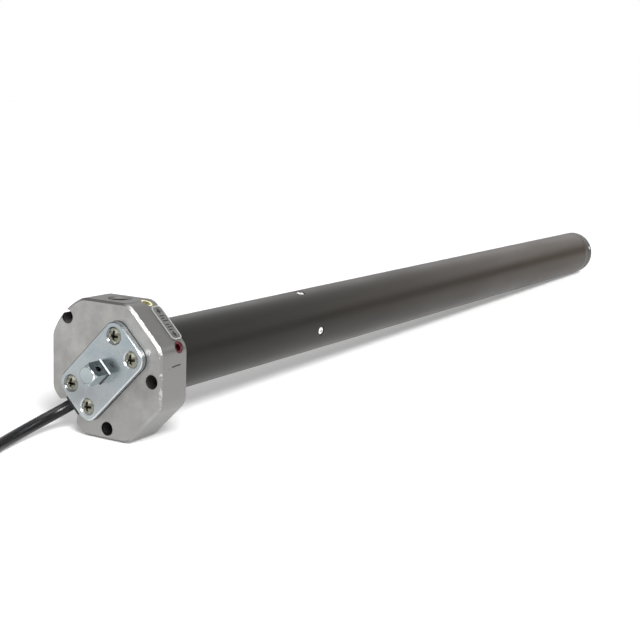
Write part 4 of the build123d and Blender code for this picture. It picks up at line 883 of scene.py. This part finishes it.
class BLINDMOTOR_OT_head(bpy.types.Operator):
    """Head casting, plate, pin, screws, label and adjusters"""
    bl_idname = "blindmotor.head"
    bl_label = "Head"

    def execute(self, context):
        settings = context.scene.blind_motor_head
        self.casting(settings.casting, settings.casting_roughness)
        self.plate(settings.plate)
        self.pin(settings.pin)
        self.beads()
        self.screws(settings.screws)
        self.label()
        self.adjuster("limit_adjuster_up", settings.up_mark, settings.up_socket_shade, ADJUSTER_UP_ANGLE)
        self.adjuster("limit_adjuster_down", settings.down_mark, settings.down_socket_shade,
                      ADJUSTER_DOWN_ANGLE)
        self.side_marks()
        return {"FINISHED"}

    def casting(self, colour, roughness):
        """Casting with painted shade on its sides, foot, top and the bevel's left part, a painted
        highlight over worn nicks on the bevel's upper right, and painted light and shade in its
        port.
        """
        shade = cast_metal("head_casting", colour, roughness)
        depth, side, height = shade.split("X"), shade.split("Y"), shade.split("Z")
        sides = shade.rise(depth, HEAD_BEVEL, HEAD_BEVEL + 0.0001)
        # Painted shade: every face behind the front bevel is darker than the front face
        shade.over(sides, toned(colour, 0.76))
        # Painted shade: darker towards the foot, more so on the sides
        shade.over(shade.fall(height, -HEAD_HALF, -0.015),
                   shade.blend(sides, toned(colour, 0.82), toned(colour, 0.56)))
        # Painted shade: a much darker top face
        shade.over(shade.rise(height, HEAD_HALF - 0.0008, HEAD_HALF - 0.0002), toned(colour, 0.24))
        bevel = shade.band("X", 0.00005, HEAD_BEVEL)
        # Painted shade on the bevel, except its part towards -Y
        shade.over(shade.multiply(bevel, shade.rise(side, -0.019, -0.013)), toned(colour, 0.42))
        # Painted highlight along the bevel's upper right: worn nicks painted bright on a slightly
        # darker base
        upper = shade.multiply(shade.rise(height, -0.022, 0.004), shade.fall(side, -0.018, -0.014))
        worn_and_highlit = shade.multiply(bevel, upper)
        nicks = shade.rise(shade.noise(420.0, 4.0), 0.57, 0.61)
        shade.over(worn_and_highlit, shade.blend(nicks, toned(colour, 0.72), toned(colour, 1.7)))
        # Painted light on the top of the port's wall, and painted shade deeper in it
        port = shade.fall(shade.off_axis((PORT_PLACE, 0.0, 0.0), (0.0, 0.0, 1.0)),
                          PORT_RADIUS + 0.0001, PORT_RADIUS + 0.0004)
        deep = shade.fall(height, HEAD_HALF - 0.0018, HEAD_HALF - 0.0012)
        shade.over(shade.multiply(port, shade.band("Z", 0.0, HEAD_HALF - 0.0001)),
                   shade.blend(deep, toned(colour, 2.0), toned(colour, 0.1)))
        shade.rough(worn_and_highlit, roughness, roughness + 0.06, 0.0, 1.0)
        give(shade, "head_housing", "head_rear_plate")

    def plate(self, colour):
        """Plate with painted light towards the floor, and on its bevelled rim a painted highlight
        on one side, painted shade on the other and painted light on its side wall.
        """
        shade = plated("plate_zinc", colour, 0.24)
        # Painted light: lighter towards the floor
        shade.over(shade.spread(shade.split("Z"), 0.75, 0.0, -0.024, 0.010), toned(colour, 1.75))
        # Painted highlight on the rim's lower side, painted shade on the rest of it
        lit = shade.rise(shade.height(CHAMFER_DOWN), -0.008, 0.008)
        shade.over(shade.band("X", *PLATE_RIM),
                   shade.blend(lit, toned(colour, 0.45), toned(colour, 1.8)))
        # Painted light on the plate's side wall
        shade.over(shade.band("X", PLATE_RIM[1], -0.0001), toned(colour, 1.35))
        give(shade, "mounting_plate")

    def pin(self, colour):
        """Pin with painted shade on its upper face, a painted light tip inside a painted dark ring,
        a painted highlight on its bevel, and painted shade with a painted highlight in its hole.
        """
        shade = plated("pin_zinc", colour, 0.2)
        outward = shade.height(CHAMFER_OUT)
        # Painted shade on the upper face
        upper = shade.rise(outward, PIN_HALF - 0.0003, PIN_HALF - 0.0001)
        shade.colour(shade.blend(upper, colour, toned(colour, 0.5)))
        # A painted light end face with a painted dark ring round it
        tip = shade.band("X", PIN_TIP - 0.0005, PIN_TIP + 0.0001)
        ring = shade.rise(shade.off_axis((0.0, 0.0, 0.0), (1.0, 0.0, 0.0)), 0.0044, 0.0047)
        shade.over(tip, toned(colour, 1.05))
        shade.over(shade.multiply(tip, ring), toned(colour, 0.65))
        # Painted highlight on the bevel's -Y side
        bevel = shade.band("X", PIN_TIP + 0.0001, PIN_TIP + 0.0009)
        shade.over(shade.multiply(bevel, shade.rise(shade.height((0.0, -1.0, 0.0)),
                                                    0.0028, 0.0036)), PAINTED_ZINC_HIGHLIGHT)
        # Painted shade in the cross hole, with a painted highlight on one side of its wall
        hole = shade.fall(shade.off_axis((PIN_HOLE_PLACE, 0.0, 0.0), CHAMFER_OUT),
                          PIN_HOLE_RADIUS, PIN_HOLE_RADIUS + 0.0002)
        lit = shade.multiply(shade.rise(outward, PIN_HALF - 0.0036, PIN_HALF - 0.0030),
                             shade.rise(shade.height((0.0, DIAGONAL, DIAGONAL)),
                                        -0.0004, 0.0004))
        shade.over(hole, shade.blend(lit, toned(colour, 0.12), PAINTED_ZINC_HIGHLIGHT))
        give(shade, "square_pin")

    def beads(self):
        """A dark bead in the corner round the plate, a painted contact shadow, and the rolled-in
        metal round the pin's root with a painted highlight on its upper side and painted shade
        below.
        """
        seam, bead_radius, bead_lift, pin_corner = 0.0001, 0.00024, 0.00005, 0.0001
        turn = full_circle(8)
        # Painted shadow: a dark bead where the plate meets the face
        contact_shadow_bead = bead_shell(PLATE_HALF_LENGTH + seam, PLATE_HALF_WIDTH + seam, PLATE_CORNER,
                          bead_lift, bead_radius * np.column_stack((np.cos(turn), np.sin(turn))))
        mesh_piece("plate_contact_shadow", [contact_shadow_bead], moulded("plate_contact_shadow", (0.02, 0.02, 0.02), 0.7))
        rolled = Shade("pin_root_zinc", (0.5, 0.52, 0.54), 0.5, 0.3)
        # Painted highlight on the root's upper side, painted shade below it
        upper = rolled.rise(rolled.height(CHAMFER_OUT), PIN_HALF - 0.0004, PIN_HALF)
        rolled.colour(rolled.blend(upper, (0.04, 0.045, 0.05), (0.8, 0.83, 0.85)))
        root = bead_shell(PIN_HALF, PIN_HALF, pin_corner, PLATE_THICKNESS, PIN_FILLET)
        mesh_piece("pin_root", [root], rolled, smooth=False)

    def screws(self, colour):
        """Four plate screws, with painted shade in the depth of their recesses."""
        shade = plated("screw_zinc", colour, 0.26)
        # Painted shade deep in the cross recesses
        deep = shade.rise(shade.split("X"), -0.0034, -0.0026)
        shade.colour(shade.blend(deep, colour, RECESS_SHADE))
        shells = [screw_shell(side * SCREW_PITCH[0] / 2, lean * SCREW_PITCH[1] / 2, turn)
                  for side, turns in zip((-1, 1), SCREW_TURNS)
                  for lean, turn in zip((-1, 1), turns)]
        heads = mesh_piece("plate_screw_heads", shells, shade)
        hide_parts("plate_screws")

    def label(self):
        """Silver label with a light rim, and plain arrows and strokes printed on it."""
        foil = Shade("label_foil", (0.25, 0.25, 0.24), 0.6, 0.35)
        foil.colour(foil.blend(foil.spread(foil.noise(300.0), 0.0, 1.0), LABEL_DARK, LABEL_LIGHT))
        foil.over(foil.rise(foil.height(CHAMFER_OUT), LABEL_FACE + 0.0001, LABEL_FACE + 0.0002),
                  LABEL_RIM)
        foil.rough(foil.noise(900.0), 0.3, 0.42)
        give(foil, "direction_label")
        arrow_unit, arrow_shift, arrow_place = 0.0012, 0.0003, 0.0085
        stroke_start, stroke_ends, stroke_half = -0.0014, (0.0022, 0.0010), 0.0004
        arrow = arrow_unit * np.array(((0.0, 1.9), (-1.5, -0.6), (-0.5, -0.6), (-0.5, -1.7),
                                       (0.5, -1.7), (0.5, -0.6), (1.5, -0.6)))
        outlines = [arrow * (1, -1) + (arrow_shift, -arrow_place),
                    arrow + (arrow_shift, arrow_place)]
        outlines += [stroke((stroke_start, spot), (stroke_ends[place % 2], spot), stroke_half)
                     for place, spot in enumerate(LABEL_STROKES)]
        outlines = [outline + (LABEL_MIDDLE, 0.0) for outline in outlines]
        mesh_piece("label_print", print_shells(outlines, CHAMFER_OUT, LABEL_FACE, CHAMFER_DOWN),
                   moulded("label_ink", (0.012, 0.012, 0.012), 0.5), smooth=False)

    def adjuster(self, node, rim, socket_shade, degrees):
        """An adjuster's face is pale round its rim, with painted shade over the part nearer the
        head's front face and in its socket.
        """
        turn = math.radians(degrees)
        shade = moulded(node, rim, 0.3)
        # Painted shade in the socket
        inside = shade.fall(shade.off_axis((ADJUSTER_PLACE, 0.0, 0.0),
                                           (0.0, -math.sin(turn), math.cos(turn))),
                            ADJUSTER_SOCKET - 0.0003, ADJUSTER_SOCKET + 0.0003)
        # Painted shade over the rim's part nearer the front face
        far = shade.rise(shade.split("X"), ADJUSTER_PLACE - 0.0018, ADJUSTER_PLACE - 0.0004)
        shade.colour(shade.blend(inside, shade.blend(far, toned(rim, 0.5), rim), socket_shade))
        give(shade, node)

    def side_marks(self):
        """The minus sign and the dot sunk into the head's side, below the lower adjuster, drawn as
        dark sheets of painted shade.
        """
        outlines = [stroke(*mark) for mark in SIDE_MARKS]
        # Dark sheets of painted shade stand in for the shade in the sunk marks
        mesh_piece("side_marks",
                   print_shells(outlines, (0.0, -1.0, 0.0), HEAD_HALF, (0.0, 0.0, 1.0)),
                   moulded("sunk_mark_shade", (0.015, 0.015, 0.015), 0.6), smooth=False)


class BLINDMOTOR_OT_tube(bpy.types.Operator):
    """Motor tube, end cap, rivets and screws"""
    bl_idname = "blindmotor.tube"
    bl_label = "Motor tube"

    def execute(self, context):
        settings = context.scene.blind_motor_tube
        paint = painted("tube_paint", settings.paint, settings.paint_roughness)
        low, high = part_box("motor_tube")
        tube = mesh_piece("tube_shell", [tube_shell(low[0], high[0], settings.steps)], paint)
        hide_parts("motor_tube")
        give(moulded("cap_plastic", (0.010, 0.010, 0.010), 0.40), "end_cap")
        steel = machined("rivet_steel", (0.86, 0.86, 0.84), 0.34)
        steel.set("Metallic", 0.55)
        give(steel, "end_cap_screws")
        heads = [button_shell(RIVET_PROFILE, angle, steps=40) for angle in RIVET_ANGLES]
        rivets = mesh_piece("rivet_heads", heads, steel)
        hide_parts("tube_rivets")
        # The stems are dark: painted shade in the rivets' pits
        stems = [button_shell(STEM_PROFILE, angle, steps=16) for angle in RIVET_ANGLES]
        mesh_piece("rivet_stems", stems, moulded("rivet_stem_shade", (0.03, 0.03, 0.03), 0.5))
        return {"FINISHED"}


class BLINDMOTOR_OT_camera(bpy.types.Operator):
    """Camera at the photograph's place"""
    bl_idname = "blindmotor.camera"
    bl_label = "Camera"

    def execute(self, context):
        data = bpy.data.cameras.new("camera")
        data.lens = CAMERA_LENS
        data.sensor_width = CAMERA_SENSOR
        data.clip_start, data.clip_end = 0.01, 20.0
        camera = linked("camera", data)
        turn = Matrix((CAMERA_RIGHT, CAMERA_UP, CAMERA_BACK)).transposed()
        camera.matrix_world = Matrix.Translation(CAMERA_PLACE) @ turn.to_4x4()
        context.scene.camera = camera
        return {"FINISHED"}


class BLINDMOTOR_OT_stage(bpy.types.Operator):
    """Pale floor, even sky and soft lamps"""
    bl_idname = "blindmotor.stage"
    bl_label = "Stage"

    def execute(self, context):
        settings = context.scene.blind_motor_stage
        self.floor(settings.floor)
        self.sky(context.scene, settings.sky)
        # An even soft light over the camera's shoulder, so that shadows fall behind the motor
        key = self.lamp("key", "SUN", settings.key_strength, KEY_PLACE)
        key.angle = math.radians(KEY_ANGLE)
        # A broad weak light on the head's face
        front = self.lamp("front", "AREA", settings.front_power, FRONT_PLACE)
        front.shape = "DISK"
        front.size = FRONT_SIZE
        context.scene.view_settings.view_transform = "Standard"
        return {"FINISHED"}

    def seen_directly(self, tree):
        """One for rays from the camera and for mirrored and passed-through ones."""
        path = tree.nodes.new("ShaderNodeLightPath")
        total = path.outputs["Is Camera Ray"]
        for ray in ("Is Glossy Ray", "Is Transmission Ray"):
            total = combined(tree, "MAXIMUM", total, path.outputs[ray])
        return total

    def from_camera(self, tree):
        """One for rays from the camera alone."""
        return tree.nodes.new("ShaderNodeLightPath").outputs["Is Camera Ray"]

    def floor(self, colour):
        """Flat square on the floor's axes.

        Its own light lifts what the camera sees, and as mirrored it fades out towards -Y.
        """
        corners = FLOOR_REACH * np.array(((-1, -1, 0), (1, -1, 0), (1, 1, 0), (-1, 1, 0)))
        mesh = bpy.data.meshes.new("floor")
        mesh.from_pydata(on_floor(corners).tolist(), [], [(0, 1, 2, 3)])
        floor = linked("floor", mesh)
        shade = Shade("floor_paper", colour, 0.0, 0.9, Specular_IOR_Level=0.2,
                      Emission_Color=WHITE)
        near = shade.rise(shade.split("Y"), *FLOOR_FADE)
        mirrored = shade.multiply(self.seen_directly(shade.tree), near)
        shown = combined(shade.tree, "MAXIMUM", mirrored, self.from_camera(shade.tree))
        shade.link(shade.multiply(shown, FLOOR_LIFT), shade.shader.inputs["Emission Strength"])
        mesh.materials.append(shade.material)

    def sky(self, scene, strength):
        """Even light from all round, with a backdrop for what is seen directly or mirrored."""
        world = bpy.data.worlds.new("sky")
        scene.world = world
        world.use_nodes = True
        tree = world.node_tree
        light = tree.nodes["Background"]
        light.inputs["Color"].default_value = WHITE
        light.inputs["Strength"].default_value = strength
        seen = tree.nodes.new("ShaderNodeBackground")
        seen.inputs["Strength"].default_value = 1.0
        tree.links.new(self.backdrop(tree), seen.inputs["Color"])
        either = tree.nodes.new("ShaderNodeMixShader")
        tree.links.new(self.seen_directly(tree), either.inputs["Fac"])
        tree.links.new(light.outputs["Background"], either.inputs[1])
        tree.links.new(seen.outputs["Background"], either.inputs[2])
        tree.links.new(either.outputs["Shader"], tree.nodes["World Output"].inputs["Surface"])

    def backdrop(self, tree):
        """White to the camera.

        Mirrored, it is dark above the horizon and towards -Y, but for a low bright band and a
        bright ceiling.
        """
        split = tree.nodes.new("ShaderNodeSeparateXYZ")
        tree.links.new(tree.nodes.new("ShaderNodeTexCoord").outputs["Generated"],
                       split.inputs["Vector"])
        ramp = tree.nodes.new("ShaderNodeValToRGB")
        ramp.color_ramp.elements[1].position = MIRRORED[-1][0]
        for place, _ in MIRRORED[1:-1]:
            ramp.color_ramp.elements.new(place)
        for element, (_, level) in zip(ramp.color_ramp.elements, MIRRORED):
            element.color = (*(level / BRIGHTEST,) * 3, 1.0)
        tree.links.new(split.outputs["Z"], ramp.inputs["Fac"])
        side = spanned(tree, split.outputs["Y"], SIDE_SHARE * BRIGHTEST, BRIGHTEST, *SIDE_RANGE)
        mirrored = combined(tree, "MULTIPLY", ramp.outputs["Color"], side)
        return combined(tree, "MAXIMUM", mirrored, self.from_camera(tree))

    def lamp(self, name, kind, energy, place):
        """A lamp at a place, aimed at the frame's origin."""
        data = bpy.data.lights.new(name, kind)
        data.energy = energy
        lamp = linked(name, data)
        aim = Vector(place).to_track_quat("Z", "Y").to_matrix().to_4x4()
        lamp.matrix_world = Matrix.Translation(place) @ aim
        return data


class BLINDMOTOR_PT_panel(bpy.types.Panel):
    """Pieces of the blind motor"""
    bl_idname = "BLINDMOTOR_PT_panel"
    bl_label = "Blind Motor"
    bl_space_type = "VIEW_3D"
    bl_region_type = "UI"
    bl_category = "Blind Motor"

    def draw(self, context):
        for title, group in SETTINGS.items():
            box = self.layout.box()
            box.label(text=title.capitalize())
            settings = getattr(context.scene, f"blind_motor_{title}")
            for name in group.__annotations__:
                box.prop(settings, name)
        for operator in OPERATORS:
            self.layout.operator(operator.bl_idname)


SETTINGS = {"head": HeadSettings, "tube": TubeSettings, "lead": LeadSettings,
            "stage": StageSettings}
OPERATORS = (BLINDMOTOR_OT_camera, BLINDMOTOR_OT_lead, BLINDMOTOR_OT_head, BLINDMOTOR_OT_tube,
             BLINDMOTOR_OT_inner_parts, BLINDMOTOR_OT_stage)


def register():
    for group in (*SETTINGS.values(), *OPERATORS, BLINDMOTOR_PT_panel):
        bpy.utils.register_class(group)
    for title, group in SETTINGS.items():
        setattr(bpy.types.Scene, f"blind_motor_{title}", PointerProperty(type=group))


def unregister():
    for title in SETTINGS:
        delattr(bpy.types.Scene, f"blind_motor_{title}")
    for group in (BLINDMOTOR_PT_panel, *OPERATORS, *SETTINGS.values()):
        bpy.utils.unregister_class(group)


def main():
    register()
    for operator in OPERATORS:
        family, name = operator.bl_idname.split(".")
        getattr(getattr(bpy.ops, family), name)()


if __name__ == "__main__":
    main()
